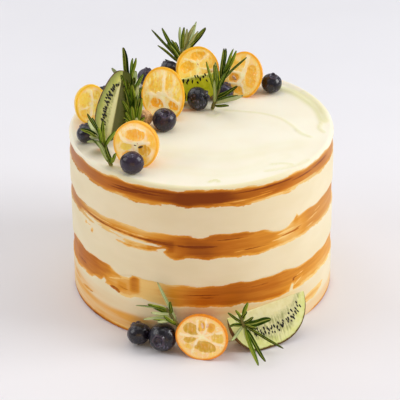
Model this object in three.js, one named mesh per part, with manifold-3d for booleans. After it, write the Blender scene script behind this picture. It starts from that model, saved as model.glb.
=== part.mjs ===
// A tall round layer cake under smooth cream icing with three caramel stripes drawn round
// its side. Kumquat halves, kiwi wedges, berries and rosemary stand on its left side in a
// crescent, and a few more lie at its foot in front.
// Millimetres, +Z up, the origin at the middle of the cake's underside. The front faces -Y,
// and an azimuth is counted from the front towards +X.

import * as THREE from "three";
import { mergeVertices } from "three/addons/utils/BufferGeometryUtils.js";
import Module from "manifold-3d";

const wasm = await Module();
wasm.setup();

// Driving dimensions
const CAKE_RADIUS = 86;
const CAKE_HEIGHT = 113;
const CAKE_FACETS = 84;
const FOOT_ROUNDING = 1.2;
const RIM_ROUNDING = 2.2;
const RIM_WIDTH = 7;
const LIP_RISE = 0.3;
const BACK_LIP_RISE = 0.9;
const BACK_LIP_AZIMUTH = 125;
const BACK_LIP_HALF_WIDTH = 32;
const STRIPE_DEPTH = 0.6;
const STRIPE_BEVEL = 0.6;
const STRIPE_RAGGEDNESS = 0.35;
const BUMP_SOFTNESS = 2.2;

const TOUCH_GAP = 0.3;
const CUTTER_GROWTH = 0.45;
const SEAT_CLEARANCE = 0.9;

const BERRY_FACETS = 10;
const BERRY_RINGS = 8;
const BERRY_FLATNESS = 0.9;
const BERRY_CROWN_RISE = 0.07;
const BERRY_CROWN_PIT = 0.13;

const CELL_DEPTH = 0.7;
const FACETS_PER_CELL = 4;

const KIWI_FACETS = 24;
const KIWI_RINGS = 12;
const KIWI_SEEDS_PER_FACE = 10;
const SEED_LENGTH = 2.2;
const SEED_WIDTH = 1;
const SEED_PROUD = 0.05;
const SEED_ROW_SHARE = 0.66;
const SEED_ROW_OUT = 0.2;
const SEED_ROW_BOW = 0.16;
const SEED_ROW_STEP = 0.09;
const SEED_FAN = 0.5;

const STEM_RADIUS = 1.2;
const STEM_TIP_RADIUS = 0.8;
const STEM_SIDES = 6;
const LEAF_SIDES = 4;
const LEAF_STEPS = 6;
const LEAF_WIDTH = 3.2;
const LEAF_WIDTH_SHARE = 0.25;
const LEAF_FOOT_SHARE = 0.1;
const LEAF_FOOT_WIDTH = 0.6;
const LEAF_THICKNESS = 0.95;
const LEAF_BOW = 0.07;
const LEAF_WAVE = 0.12;

// Caramel stripes. A bump is [azimuth, half width, rise], and moves the edge there.
const STRIPES = [
  {
    low: 26.6,
    high: 43,
    lowBumps: [[-50, 6, 3.2], [-26, 5, 2], [36, 12, -1.2], [-130, 20, 1.5], [140, 16, -2]],
    highBumps: [[-62, 16, 2], [-38, 5, -1.4], [66, 20, -1.2], [-150, 18, -1.6], [118, 14, 1.4]],
  },
  {
    low: 62.4,
    high: 79.6,
    lowBumps: [[-64, 50, 7], [-27, 8, -3.2], [62, 18, 1], [150, 24, 3.5], [-150, 10, -1.5]],
    highBumps: [[0, 4, -1.3], [35, 6, -4.8], [25, 5, -1.2], [-150, 20, -3], [120, 12, 1]],
  },
  {
    low: 99.4,
    high: 110.8,
    lowBumps: [[-25, 8, -0.8], [22, 6, -0.8], [62, 16, 1], [-120, 20, -0.9], [150, 22, 0.9]],
    highBumps: [[-47, 5, -1.1], [-140, 14, -0.8], [130, 18, -0.7]],
  },
];

// Berries: the middle, the radius and which way the crown points.
const BERRIES = [
  { at: [-73.2, -22.5, 119], radius: 6.7, crown: [-0.3, 0.5, 0.8] },
  { at: [-43.3, -64.5, 119.9], radius: 7.6, crown: [0.1, 0.9, 0.3] },
  { at: [-23.8, -5.4, 120], radius: 7.8, crown: [0.05, -0.55, 0.8] },
  { at: [-2.1, 25, 120], radius: 7.9, crown: [0.95, 0.1, 0.25] },
  { at: [-15.4, 30.5, 118.6], radius: 6, crown: [0.2, 0.3, 0.9] },
  { at: [-36.3, 59.8, 118.9], radius: 6.4, crown: [0.1, -0.1, 1] },
  { at: [-21.6, 70.6, 119], radius: 6.6, crown: [-0.4, 0.7, 0.6] },
  { at: [15.2, 36.4, 119], radius: 6.6, crown: [0.3, 0.6, 0.7] },
  { at: [47.4, 48.7, 119.2], radius: 6.9, crown: [0.1, -0.25, 0.95] },
  { at: [-64.9, 33.1, 118.8], radius: 6.3, crown: [0.5, 0.4, 0.8] },
  { at: [-38.5, 32.5, 118.6], radius: 6, crown: [-0.4, -0.3, 0.8] },
  { at: [-41.4, -85.2, 6.9], radius: 7.5, crown: [-0.3, 0.6, 0.7] },
  { at: [-25.7, -92.6, 8.2], radius: 8.8, crown: [-0.35, -0.85, -0.35] },
];

// Kumquat halves: the middle of the cut face, its half width and half height, the depth of
// the dome behind it, where the face looks, how far it is turned in its own plane, and how
// many cells the cut shows.
const KUMQUATS = [
  { at: [-72, 7.3, 125.2], half: [11, 13.2], depth: 12, azimuth: 25, lift: 12, roll: 0, cells: 6 },
  { at: [-41.5, -53.5, 126.7], half: [14.7, 15], depth: 14, azimuth: -20, lift: 12, roll: 0, cells: 6 },
  { at: [-24.8, 11.1, 129.5], half: [14, 18.1], depth: 12.5, azimuth: -15, lift: 15, roll: 4, cells: 5 },
  { at: [-1.9, 54.3, 127.4], half: [14.7, 15.7], depth: 14, azimuth: 15, lift: 12, roll: 0, cells: 6 },
  { at: [27.7, 46.6, 126.3], half: [13.3, 15.8], depth: 12.5, azimuth: -20, lift: 25, roll: -6, cells: 5 },
  { at: [-0.9, -101.3, 14.3], half: [16.9, 15.2], depth: 12, azimuth: -15, lift: 15, roll: 0, cells: 5 },
];

const KUMQUAT_END = { at: [-36.6, 0.4, 118.2], radius: 5.4, crown: [-0.45, -0.75, 0.6] };

// Kiwi wedges: the two ends of the core edge, the radius of the fruit round it, how blunt
// each end is (2 is an ellipse), the directions in which the two cut faces leave the core
// edge, counted the right-hand way round it, and which of them shows its seeds. The first
// wedge stands on a cut end, so its core edge runs on below the icing.
const KIWIS = [
  {
    core: [[-62.6, -24.2, 94], [-49, -17.8, 160.5]],
    radius: 21,
    bluntness: [2, 1.7],
    faces: [[0.7, 0.71, -0.2], [-0.56, 0.83, 0.05]],
    seeded: [true, true],
  },
  {
    core: [[-26, 36.4, 126.2], [13, 36.4, 134.4]],
    radius: 19,
    bluntness: [2, 2.6],
    faces: [[-0.05, 0.83, -0.5], [0.1, -0.1, -1]],
    seeded: [false, true],
  },
  {
    core: [[15.4, -91.1, 22], [64.6, -66.2, 26.9]],
    radius: 27,
    bluntness: [4, 2.2],
    faces: [[-0.05, 0.1, -1], [0.47, -0.33, -0.82]],
    seeded: [false, true],
  },
];

// Rosemary sprigs: the cut end of the stem, the stem's swing (towards +X), lean (towards the
// front) and length, and the leaves as [share of the stem, swing, lean, length, width].
const SPRIGS = [
  {
    at: [-56.5, -56, 113.6],
    stem: [-18, 5, 24.2],
    leaves: [
      [1, -18, 5, 18, 2.4], [0.55, -2, -4, 20, 2.8], [0.95, -45, 25, 17, 3.6], [0.9, -70, 8, 7, 2.2],
      [0.6, 28, 24, 21, 2.2], [0.05, 21, 20, 12, 2.2], [0.8, -75, 22, 10, 2], [1, -18, -20, 12, 2.2],
    ],
  },
  {
    at: [-46.2, 3, 113.6],
    stem: [1, 5, 29.7],
    leaves: [
      [0.9, -6, 10, 34, 3.8], [1, 5, -10, 18, 2.2], [1, 15, 5, 21, 2.2], [0.55, 10, -15, 21, 4.4],
      [0.6, 34, -34, 19, 2.6], [0.55, -14, -12, 20, 2.2], [0.7, -15, -15, 15, 2.4],
      [0.35, 12, -30, 17, 2.4], [0.3, -10, -25, 13, 2.2], [0.2, 8, -20, 18, 2.4],
      [0.4, -4, -35, 21, 2.4], [0.8, 14, 22, 16, 2.6], [0.15, -15, -3, 35, 3.4],
    ],
  },
  {
    at: [-13.3, 75.5, 113.6],
    stem: [1, -6, 16.5],
    leaves: [
      [0.5, -34, -5, 28, 2.4], [0.6, -32, -22, 22, 2.8], [0.85, -25, 8, 14, 2.2],
      [0.9, -5, -15, 17, 2.4], [1, 10, 4, 19, 2.4], [0.8, 17, -12, 14, 2.2], [0.8, 24, 0, 26, 3.8],
      [0.8, 40, -20, 25, 2.8], [0.7, 39, -4, 29, 2.6], [0.4, -31, -36, 17, 2.8],
      [0.5, 26, -30, 30, 2.4], [0.45, -20, -40, 16, 2.4],
    ],
  },
  {
    at: [7.4, 22, 113.6],
    stem: [16, 4, 25.8],
    leaves: [
      [0.3, -9, 12, 30, 2.2], [0.35, -1, 22, 33, 3.4], [0.5, -1, 4, 22, 3.2], [0.85, 2, 10, 26, 3],
      [1, 10, -2, 18, 2.4], [1, 15, 8, 22, 2.4], [0.95, 30, 2, 20, 2.4], [0.85, 37, 10, 25, 2.4],
      [0.3, 52, 14, 18, 3.2], [0.25, 56, 26, 20, 2.4], [0.15, 66, 12, 22, 3.4], [0.6, -7, 28, 17, 2.4],
    ],
  },
  {
    at: [-14.8, -91, 15.2],
    stem: [-31, -6, 16],
    leaves: [
      [0.2, -20, -8, 32, 2.4], [0.7, 0, 10, 12, 2.2], [1, -77, 0, 20, 2.2], [0.8, -69, -8, 15, 2.4],
      [0.6, -84, 12, 19, 2.6], [0.7, -71, 15, 14, 2.8], [0.4, -75, 25, 13, 2.4],
    ],
  },
  {
    at: [26, -93.4, 17],
    stem: [-13, 8, 9.3],
    leaves: [
      [0.3, -44, 5, 14, 2.2], [0.6, 13, -5, 14, 2.6], [0.8, 19, 18, 9, 2.2], [0.2, 86, -16, 19, 3.4],
      [0.1, -127, 35, 13, 2.4], [0.1, 117, 8, 29, 2.6], [0.1, 138, 43, 28, 2.6],
      [0.1, 148, 54, 30, 3], [0.4, -89, 22, 10, 2.2], [0.2, 85, 30, 10, 2.4],
    ],
  },
];

const LOOKS = {
  icing: { color: 0xefe3c4, roughness: 0.5 },
  berry: { color: 0x2e2a42, roughness: 0.45 },
  kumquat: { color: 0xf2a93a, roughness: 0.35 },
  kiwi: { color: 0xb9bb62, roughness: 0.4 },
  rosemary: { color: 0x4a6e2c, roughness: 0.65 },
};

const radians = THREE.MathUtils.degToRad;
const vector = (place) => new THREE.Vector3(...place);

// Seeded draws, so that the fruit comes out the same each time.
const drawFrom = (seed) => {
  let state = seed;
  return () => {
    state = (state * 16807) % 2147483647;
    return state / 2147483647;
  };
};

// Meshes and solids

const welded = (geometry) => {
  const bare = geometry.clone();
  bare.deleteAttribute("normal");
  bare.deleteAttribute("uv");
  const merged = mergeVertices(bare, 1e-4);
  const corners = merged.getIndex().array;
  const kept = [];
  for (let i = 0; i < corners.length; i += 3) {
    const [a, b, c] = [corners[i], corners[i + 1], corners[i + 2]];
    if (a !== b && b !== c && c !== a) kept.push(a, b, c);
  }
  merged.setIndex(kept);
  return merged;
};

const solidOf = (geometry) => {
  const mesh = welded(geometry);
  return new wasm.Manifold(new wasm.Mesh({
    numProp: 3,
    vertProperties: new Float32Array(mesh.getAttribute("position").array),
    triVerts: new Uint32Array(mesh.getIndex().array),
  }));
};

const geometryOf = (solid) => {
  const { vertProperties, triVerts } = solid.getMesh();
  const geometry = new THREE.BufferGeometry();
  geometry.setAttribute("position", new THREE.BufferAttribute(new Float32Array(vertProperties), 3));
  geometry.setIndex(Array.from(triVerts));
  return geometry;
};

const reshaped = (geometry, move) => {
  const places = geometry.getAttribute("position");
  const point = new THREE.Vector3();
  for (let i = 0; i < places.count; i += 1) {
    point.fromBufferAttribute(places, i);
    move(point, i);
    places.setXYZ(i, point.x, point.y, point.z);
  }
  return geometry;
};

const largestPiece = (solid) => {
  const pieces = solid.decompose();
  return pieces.reduce((best, piece) => (piece.volume() > best.volume() ? piece : best));
};

// A copy that stands out all over, to cut a neighbour clear of it. Its corners move along
// the mean of their faces' normals, which opens a face beside a sharp edge by less.
const grown = (geometry) => {
  const mesh = welded(geometry);
  mesh.computeVertexNormals();
  const normals = mesh.getAttribute("normal");
  const outward = new THREE.Vector3();
  return reshaped(mesh, (point, i) => {
    point.addScaledVector(outward.fromBufferAttribute(normals, i), CUTTER_GROWTH);
  });
};

// The turn that takes Y to a direction and keeps the piece's Z as near upright as it can be.
const facing = (direction, roll = 0) => {
  const out = vector(direction).normalize();
  const side = out.clone().cross(new THREE.Vector3(0, 0, 1)).normalize();
  const up = side.clone().cross(out);
  return new THREE.Matrix4().makeBasis(side, out, up)
    .multiply(new THREE.Matrix4().makeRotationY(radians(roll)));
};

const towards = (swing, lean) => {
  const [across, forward] = [radians(swing), radians(lean)];
  return new THREE.Vector3(
    Math.sin(across) * Math.cos(forward),
    -Math.sin(forward),
    Math.cos(across) * Math.cos(forward),
  );
};

// The cake

const bump = (azimuth, [middle, halfWidth, rise]) => {
  const away = THREE.MathUtils.euclideanModulo(azimuth - middle + 180, 360) - 180;
  const inner = Math.tanh((away + halfWidth) / BUMP_SOFTNESS);
  const outer = Math.tanh((away - halfWidth) / BUMP_SOFTNESS);
  return (rise * (inner - outer)) / 2;
};

const ragged = (azimuth, seed) => {
  const turn = radians(azimuth);
  const waves = Math.sin(7 * turn + seed) + Math.sin(17 * turn + 2 * seed) + Math.sin(31 * turn + 5 * seed);
  return STRIPE_RAGGEDNESS * waves;
};

const edge = (level, bumps, seed) => (azimuth) => (
  bumps.reduce((sum, row) => sum + bump(azimuth, row), level + ragged(azimuth, seed))
);

// A ring is the radius and the height of the surface at an azimuth.
const stripeRings = ({ low, high, lowBumps, highBumps }, row) => {
  const lower = edge(low, lowBumps, row + 1);
  const upper = edge(high, highBumps, row + 5);
  return [
    (azimuth) => [CAKE_RADIUS, lower(azimuth)],
    (azimuth) => [CAKE_RADIUS - STRIPE_DEPTH, lower(azimuth) + STRIPE_BEVEL],
    (azimuth) => [CAKE_RADIUS - STRIPE_DEPTH, upper(azimuth) - STRIPE_BEVEL],
    (azimuth) => [CAKE_RADIUS, upper(azimuth)],
  ];
};

const lipRise = (azimuth) => (
  LIP_RISE + bump(azimuth, [BACK_LIP_AZIMUTH, BACK_LIP_HALF_WIDTH, BACK_LIP_RISE])
);

const cakeRings = [
  () => [0, 0],
  () => [CAKE_RADIUS - FOOT_ROUNDING, 0],
  () => [CAKE_RADIUS, FOOT_ROUNDING],
  ...STRIPES.flatMap(stripeRings),
  (azimuth) => [CAKE_RADIUS - RIM_ROUNDING / 4, CAKE_HEIGHT - RIM_ROUNDING / 4 + lipRise(azimuth) / 2],
  (azimuth) => [CAKE_RADIUS - RIM_ROUNDING, CAKE_HEIGHT + lipRise(azimuth)],
  () => [CAKE_RADIUS - RIM_WIDTH, CAKE_HEIGHT],
  () => [0, CAKE_HEIGHT],
];

const cakeGeometry = () => {
  const profile = cakeRings.map((ring) => new THREE.Vector2(...ring(0)));
  const lathe = new THREE.LatheGeometry(profile, CAKE_FACETS);
  return reshaped(lathe, (point, i) => {
    const ring = cakeRings[i % cakeRings.length];
    const azimuth = (Math.floor(i / cakeRings.length) * 360) / CAKE_FACETS;
    const [radius, height] = ring(azimuth);
    point.set(radius * Math.sin(radians(azimuth)), -radius * Math.cos(radians(azimuth)), height);
  });
};

// What the toppings are cut against: a little outside the cake all over.
const seatGeometry = () => {
  const profile = [
    [0, -SEAT_CLEARANCE],
    [CAKE_RADIUS + TOUCH_GAP, -SEAT_CLEARANCE],
    [CAKE_RADIUS + TOUCH_GAP, CAKE_HEIGHT + SEAT_CLEARANCE],
    [CAKE_RADIUS - RIM_WIDTH, CAKE_HEIGHT + TOUCH_GAP],
    [0, CAKE_HEIGHT + TOUCH_GAP],
  ];
  const lathe = new THREE.LatheGeometry(profile.map((pair) => new THREE.Vector2(...pair)), CAKE_FACETS);
  return lathe.rotateX(Math.PI / 2);
};

// A slab under the floor, which trims what reaches below it.
const floorGeometry = () => {
  const across = CAKE_RADIUS * 4;
  return new THREE.BoxGeometry(across, across, CAKE_HEIGHT).translate(0, 0, -CAKE_HEIGHT / 2);
};

// The fruit

// A slightly flat ball with a five-lobed crown round a pit at its top.
const berryGeometry = ({ at, radius, crown }) => {
  const ball = new THREE.SphereGeometry(radius, BERRY_FACETS, BERRY_RINGS);
  const columns = BERRY_FACETS + 1;
  reshaped(ball, (point, i) => {
    const ring = Math.floor(i / columns);
    const lobe = i % 2 === ring % 2 ? 1 : 0;
    point.y *= BERRY_FLATNESS;
    if (ring === 0) point.y -= radius * BERRY_CROWN_PIT;
    if (ring === 1) point.y += radius * BERRY_CROWN_RISE * (1 + lobe);
  });
  return ball.applyMatrix4(facing(crown)).translate(...at);
};

// Half a fruit. The cut face looks along Y with its cells sunk between their walls, and
// the peel closes it in a dome behind.
const kumquatRings = [
  { share: 0, behind: 0 },
  { share: 0.15, behind: 0 },
  { share: 0.27, behind: 0, cell: true },
  { share: 0.76, behind: 0, cell: true },
  { share: 0.86, behind: 0 },
  { share: 0.98, behind: 0 },
  { share: 1, behind: 0.12 },
  { share: 0.9, behind: 0.46 },
  { share: 0.68, behind: 0.76 },
  { share: 0.36, behind: 0.94 },
  { share: 0, behind: 1 },
];

const kumquatGeometry = ({ at, half, depth, azimuth, lift, roll, cells }) => {
  const profile = kumquatRings.map(({ share, behind }) => new THREE.Vector2(share, -behind));
  const facets = cells * FACETS_PER_CELL;
  const lathe = new THREE.LatheGeometry(profile.reverse(), facets);
  reshaped(lathe, (point, i) => {
    const ring = kumquatRings[kumquatRings.length - 1 - (i % kumquatRings.length)];
    const column = Math.floor(i / kumquatRings.length);
    const inCell = ring.cell && column % FACETS_PER_CELL !== 0;
    point.set(point.x * half[0], point.y * depth - (inCell ? CELL_DEPTH : 0), point.z * half[1]);
  });
  const look = new THREE.Vector3(
    Math.sin(radians(azimuth)) * Math.cos(radians(lift)),
    -Math.cos(radians(azimuth)) * Math.cos(radians(lift)),
    Math.sin(radians(lift)),
  );
  return lathe.applyMatrix4(facing(look.toArray(), roll)).translate(...at);
};

// Seeds in a bowed double row, half sunk in the cut face that lies at an angle round the
// core edge. The core edge is on Z.
const seedSolids = (angle, side, radius, halfLength, draw) => {
  const seeds = [];
  for (let i = 0; i < KIWI_SEEDS_PER_FACE; i += 1) {
    const share = (2 * (i + 0.5)) / KIWI_SEEDS_PER_FACE - 1;
    const along = SEED_ROW_SHARE * halfLength * share + draw() - 0.5;
    const bowed = 1 - (along / halfLength) ** 2;
    const out = radius * (SEED_ROW_OUT + SEED_ROW_BOW * bowed + SEED_ROW_STEP * (i % 2) + 0.04 * draw());
    const seed = new THREE.OctahedronGeometry(1, 0);
    seed.scale(SEED_LENGTH / 2, SEED_WIDTH / 2, SEED_WIDTH / 2);
    seed.rotateY(-SEED_FAN * share);
    seed.translate(out, side * SEED_PROUD, along);
    seeds.push(solidOf(seed.rotateZ(angle)));
  }
  return seeds;
};

// A wedge cut lengthwise: the part of the whole fruit between two planes through its core.
const kiwiGeometry = ({ core, radius, bluntness, faces, seeded }, row) => {
  const [start, end] = core.map(vector);
  const axis = end.clone().sub(start);
  const halfLength = axis.length() / 2;
  axis.normalize();
  const first = vector(faces[0]);
  first.addScaledVector(axis, -first.dot(axis)).normalize();
  const third = axis.clone().cross(first);
  const second = vector(faces[1]);
  const opening = Math.atan2(second.dot(third), second.dot(first));

  const fruit = new THREE.SphereGeometry(1, KIWI_FACETS, KIWI_RINGS).rotateX(Math.PI / 2);
  reshaped(fruit, (point) => {
    const round = Math.hypot(point.x, point.y);
    const power = point.z < 0 ? bluntness[0] : bluntness[1];
    const swell = round > 1e-6 ? Math.sqrt(Math.max(0, 1 - Math.abs(point.z) ** power)) / round : 0;
    point.set(point.x * swell * radius, point.y * swell * radius, point.z * halfLength);
  });
  const far = 2 * radius;
  const sector = new THREE.Shape([0, 0, 0.5, 1].map((share, i) => (
    i === 0
      ? new THREE.Vector2(0, 0)
      : new THREE.Vector2(far * Math.cos(share * opening), far * Math.sin(share * opening))
  )));
  const prism = new THREE.ExtrudeGeometry(sector, { depth: 4 * halfLength, bevelEnabled: false });
  prism.translate(0, 0, -2 * halfLength);

  const draw = drawFrom(row + 11);
  const wedge = solidOf(fruit).intersect(solidOf(prism));
  const seeds = [
    ...(seeded[0] ? seedSolids(0, -1, radius, halfLength, draw) : []),
    ...(seeded[1] ? seedSolids(opening, 1, radius, halfLength, draw) : []),
  ];
  const whole = seeds.reduce((sum, seed) => sum.add(seed), wedge);
  const middle = start.add(end).multiplyScalar(0.5);
  return geometryOf(whole)
    .applyMatrix4(new THREE.Matrix4().makeBasis(first, third, axis))
    .translate(middle.x, middle.y, middle.z);
};

// The rosemary

// A needle leaf along Y: a flat lens in section, narrow at its foot and round at its tip.
const leafGeometry = (length, width) => {
  const leaf = new THREE.SphereGeometry(1, LEAF_SIDES, LEAF_STEPS);
  return reshaped(leaf, (point) => {
    const share = (point.y + 1) / 2;
    const fullness = Math.hypot(point.x, point.z);
    const swell = fullness > 0 ? fullness ** -0.5 : 0;
    const foot = share < LEAF_FOOT_SHARE ? LEAF_FOOT_WIDTH : 1;
    const wave = LEAF_WAVE * width * Math.sin(2 * Math.PI * share + length);
    point.set(
      point.x * swell * foot * (width / 2) + wave,
      length * share,
      (point.z * swell * LEAF_THICKNESS) / 2 + LEAF_BOW * length * share * share,
    );
  });
};

// A narrow leaf is a full one seen from its side, so it is rolled about its own length.
const leafSolid = ([share, swing, lean, length, seenWidth], stemStart, stem, row) => {
  const width = Math.max(seenWidth, Math.min(LEAF_WIDTH, LEAF_WIDTH_SHARE * length));
  const roll = Math.acos(seenWidth / width) * (row % 2 ? 1 : -1);
  const along = towards(swing, lean);
  const front = new THREE.Vector3(0, -1, 0);
  front.addScaledVector(along, -front.dot(along)).normalize();
  const side = along.clone().cross(front);
  const foot = stemStart.clone().addScaledVector(stem, share);
  const place = new THREE.Matrix4().makeBasis(side, along, front)
    .multiply(new THREE.Matrix4().makeRotationY(roll))
    .setPosition(foot);
  return solidOf(leafGeometry(length, width).applyMatrix4(place));
};

const sprigSolid = ({ at, stem, leaves }) => {
  const [swing, lean, length] = stem;
  const start = vector(at);
  const along = towards(swing, lean);
  const twig = new THREE.CylinderGeometry(STEM_TIP_RADIUS, STEM_RADIUS, length, STEM_SIDES);
  twig.translate(0, length / 2, 0).applyMatrix4(facing(along.toArray())).translate(...at);
  const run = along.clone().multiplyScalar(length - STEM_TIP_RADIUS);
  return leaves.reduce((sum, leaf, row) => sum.add(leafSolid(leaf, start, run, row)), solidOf(twig));
};

// Putting it together

const cake = new THREE.Group();
const obstacles = [solidOf(seatGeometry()), solidOf(floorGeometry())];

const addPiece = (name, look, geometry, at) => {
  const mesh = new THREE.Mesh(
    geometry.translate(-at.x, -at.y, -at.z),
    new THREE.MeshStandardMaterial({ name, metalness: 0, ...look }),
  );
  mesh.name = name;
  mesh.position.copy(at);
  cake.add(mesh);
};

// Each topping is cut clear of what was placed before it, and a loose scrap is dropped.
const settle = (name, look, solid, at) => {
  const settled = obstacles.reduce((rest, obstacle) => rest.subtract(obstacle), solid);
  addPiece(name, look, geometryOf(largestPiece(settled)), at);
};

const settleFruit = (name, look, geometry, at) => {
  settle(name, look, solidOf(geometry), at);
  obstacles.push(solidOf(grown(geometry)));
};

addPiece("iced_cake", LOOKS.icing, welded(cakeGeometry()), new THREE.Vector3());

KUMQUATS.forEach((row, i) => {
  settleFruit(`kumquat_half_${i + 1}`, LOOKS.kumquat, kumquatGeometry(row), vector(row.at));
});
BERRIES.forEach((row, i) => {
  settleFruit(`berry_${i + 1}`, LOOKS.berry, berryGeometry(row), vector(row.at));
});
settleFruit("kumquat_end", LOOKS.kumquat, berryGeometry(KUMQUAT_END), vector(KUMQUAT_END.at));
KIWIS.forEach((row, i) => {
  const middle = vector(row.core[0]).add(vector(row.core[1])).multiplyScalar(0.5);
  settleFruit(`kiwi_wedge_${i + 1}`, LOOKS.kiwi, kiwiGeometry(row, i), middle);
});
SPRIGS.forEach((row, i) => {
  settle(`rosemary_sprig_${i + 1}`, LOOKS.rosemary, sprigSolid(row), vector(row.at));
});

export default cake;
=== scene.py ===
"""A tall round layer cake under smooth cream icing, with three caramel stripes drawn round its side.

Kumquat halves, kiwi wedges, dark berries and rosemary lie in a crescent on the left of its top, and a
few more lean against its foot. Tables and shapes are in millimetres, and each piece is scaled to metres
as it is made. The front faces -Y, and an azimuth is counted from the front towards +X.
"""

import math
import random

import bpy
import numpy as np
from mathutils import Matrix, Vector, noise


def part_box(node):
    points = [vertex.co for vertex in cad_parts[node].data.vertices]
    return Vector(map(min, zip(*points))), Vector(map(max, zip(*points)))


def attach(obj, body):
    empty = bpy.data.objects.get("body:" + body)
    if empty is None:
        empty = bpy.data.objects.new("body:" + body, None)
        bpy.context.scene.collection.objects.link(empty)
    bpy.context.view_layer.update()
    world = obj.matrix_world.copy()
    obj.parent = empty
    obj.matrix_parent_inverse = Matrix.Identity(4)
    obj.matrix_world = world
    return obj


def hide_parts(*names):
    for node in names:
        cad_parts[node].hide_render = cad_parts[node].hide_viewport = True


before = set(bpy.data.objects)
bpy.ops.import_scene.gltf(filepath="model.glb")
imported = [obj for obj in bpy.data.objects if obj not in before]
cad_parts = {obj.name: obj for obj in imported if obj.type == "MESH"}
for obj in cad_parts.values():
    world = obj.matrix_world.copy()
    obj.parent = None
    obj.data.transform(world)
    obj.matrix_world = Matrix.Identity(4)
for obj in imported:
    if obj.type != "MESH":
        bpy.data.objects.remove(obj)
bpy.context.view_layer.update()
CAKE_LOW, CAKE_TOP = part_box("iced_cake")

MM = 0.001
BODY = "root"

# The camera, worked out from the round top and foot of the cake in the photograph: its place in metres,
# its turns in radians and its lens in millimetres
CAMERA_PLACE = (0, -1.2189, 0.7342)
CAMERA_PITCH = math.radians(29.046)
CAMERA_YAW = 0.001
CAMERA_ROLL = -0.009
CAMERA_LENS = 189.43

# The light and the floor, in metres. A lamp is [azimuth, lift, distance, size, watts], and the warm card
# in front has its colour as well.
LAMPS = {
    "right_lamp": [85, 32, 1.5, 0.8, 14.4],
    "left_lamp": [-85, 30, 1.5, 0.9, 6.8],
    "back_lamp": [-135, 35, 1.5, 0.9, 3.3],
    "ceiling": [180, 82.5, 1.53, 1.2, 6.1],
    "front_card": [0, -6, 0.55, 0.5, 0.8, (1.0, 0.55, 0.12)],
}
LAMP_AIM = 0.08
ROOM_LIGHT = 0.33
FLOOR_HALF_SIZE = 6.0

# The cake
CAKE_RADIUS = (CAKE_TOP.x - CAKE_LOW.x) / 2 / MM
CAKE_HEIGHT = 113.0
FOOT_ROUNDING = 1.2
RIM_ROUNDING = 2.6
RIM_WIDTH = 7.0
LIP_RISE = 0.3
BACK_LIP_RISE = 0.9
BACK_LIP_AZIMUTH = 125
BACK_LIP_HALF_WIDTH = 32
STRIPE_DEPTH = 0.6
STRIPE_RAGGEDNESS = 0.35
SCORE_DEPTH = 0.22
SCRAPER_RISE = 0.09
SIDE_WOBBLE = 0.12
TOP_UNEVENNESS = 0.16
TOP_STROKES_RISE = 0.05
FAR_OUTSIDE = -5.0
BUMP_SOFTNESS = 2.2
CRISP_SOFTNESS = 0.6
WASH_SOFTNESS = 9.0
CAKE_COLUMNS = 400
SIDE_STEP = 0.7
TOP_STEP = 1.15
SUNK_BELOW_ICING = 1.2

# Caramel stripes. A bump is [azimuth, half width, rise], and moves the edge there. A tone is
# [azimuth, how dark the caramel lies there], from 0 for thin amber to 1 for the deepest brown. The
# tones are partly the caramel's own depth and partly painted light: darkest towards the front as a
# painted dark reflection in the glossy caramel, and paler towards the sides as a painted sheen.
STRIPES = [
    {
        "low": 26.6,
        "high": 43,
        "low_bumps": [[-50, 6, 3.2], [-26, 5, 2], [36, 12, -1.2], [-130, 20, 1.5], [140, 16, -2]],
        "high_bumps": [[-59, 17, 2], [-38, 3.5, -1.4], [66, 20, -1.2], [-150, 18, -1.6], [118, 14, 1.4]],
        "tones": [
            [-180, 0.55], [-140, 0.4], [-100, 0.5], [-75, 0.54], [-54, 0.5], [-46, 0.4], [-41, 0.26],
            [-27, 0.26], [-18, 0.26], [-13, 0.38], [-6, 0.54], [2, 0.64], [17, 0.68], [26, 0.6], [34, 0.54],
            [45, 0.44], [60, 0.38], [75, 0.36], [110, 0.45], [150, 0.6],
        ],
    },
    {
        "low": 62.4,
        "high": 79.6,
        "low_bumps": [[-64, 50, 7], [-27, 8, -3.2], [62, 18, 1], [150, 24, 3.5], [-150, 10, -1.5]],
        "high_bumps": [[0, 4, -1.3], [35, 6, -4.8], [25, 5, -1.2], [-150, 20, -3], [120, 12, 1]],
        "tones": [
            [-180, 0.5], [-140, 0.45], [-100, 0.4], [-75, 0.5], [-60, 0.4], [-45, 0.38], [-26, 0.42],
            [-20, 0.54], [-12, 0.64], [-6, 0.78], [2, 0.78], [9, 0.6], [20, 0.52], [32, 0.4], [38, 0.26],
            [45, 0.3], [52, 0.4], [62, 0.4], [75, 0.36], [110, 0.5], [150, 0.4],
        ],
    },
    {
        "low": 99.4,
        "high": 110.8,
        "low_bumps": [[-25, 8, -0.8], [22, 6, -0.8], [62, 16, 1], [-120, 20, -0.9], [150, 22, 0.9]],
        "high_bumps": [[-47, 5, -1.1], [-140, 14, -0.8], [130, 18, -0.7]],
        "tones": [
            [-180, 0.6], [-140, 0.5], [-90, 0.48], [-75, 0.62], [-60, 0.62], [-45, 0.64], [-30, 0.78],
            [-14, 0.86], [-7, 1], [8, 1], [15, 0.84], [25, 0.74], [40, 0.66], [55, 0.56], [70, 0.46],
            [90, 0.4], [140, 0.6],
        ],
    },
]
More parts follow.
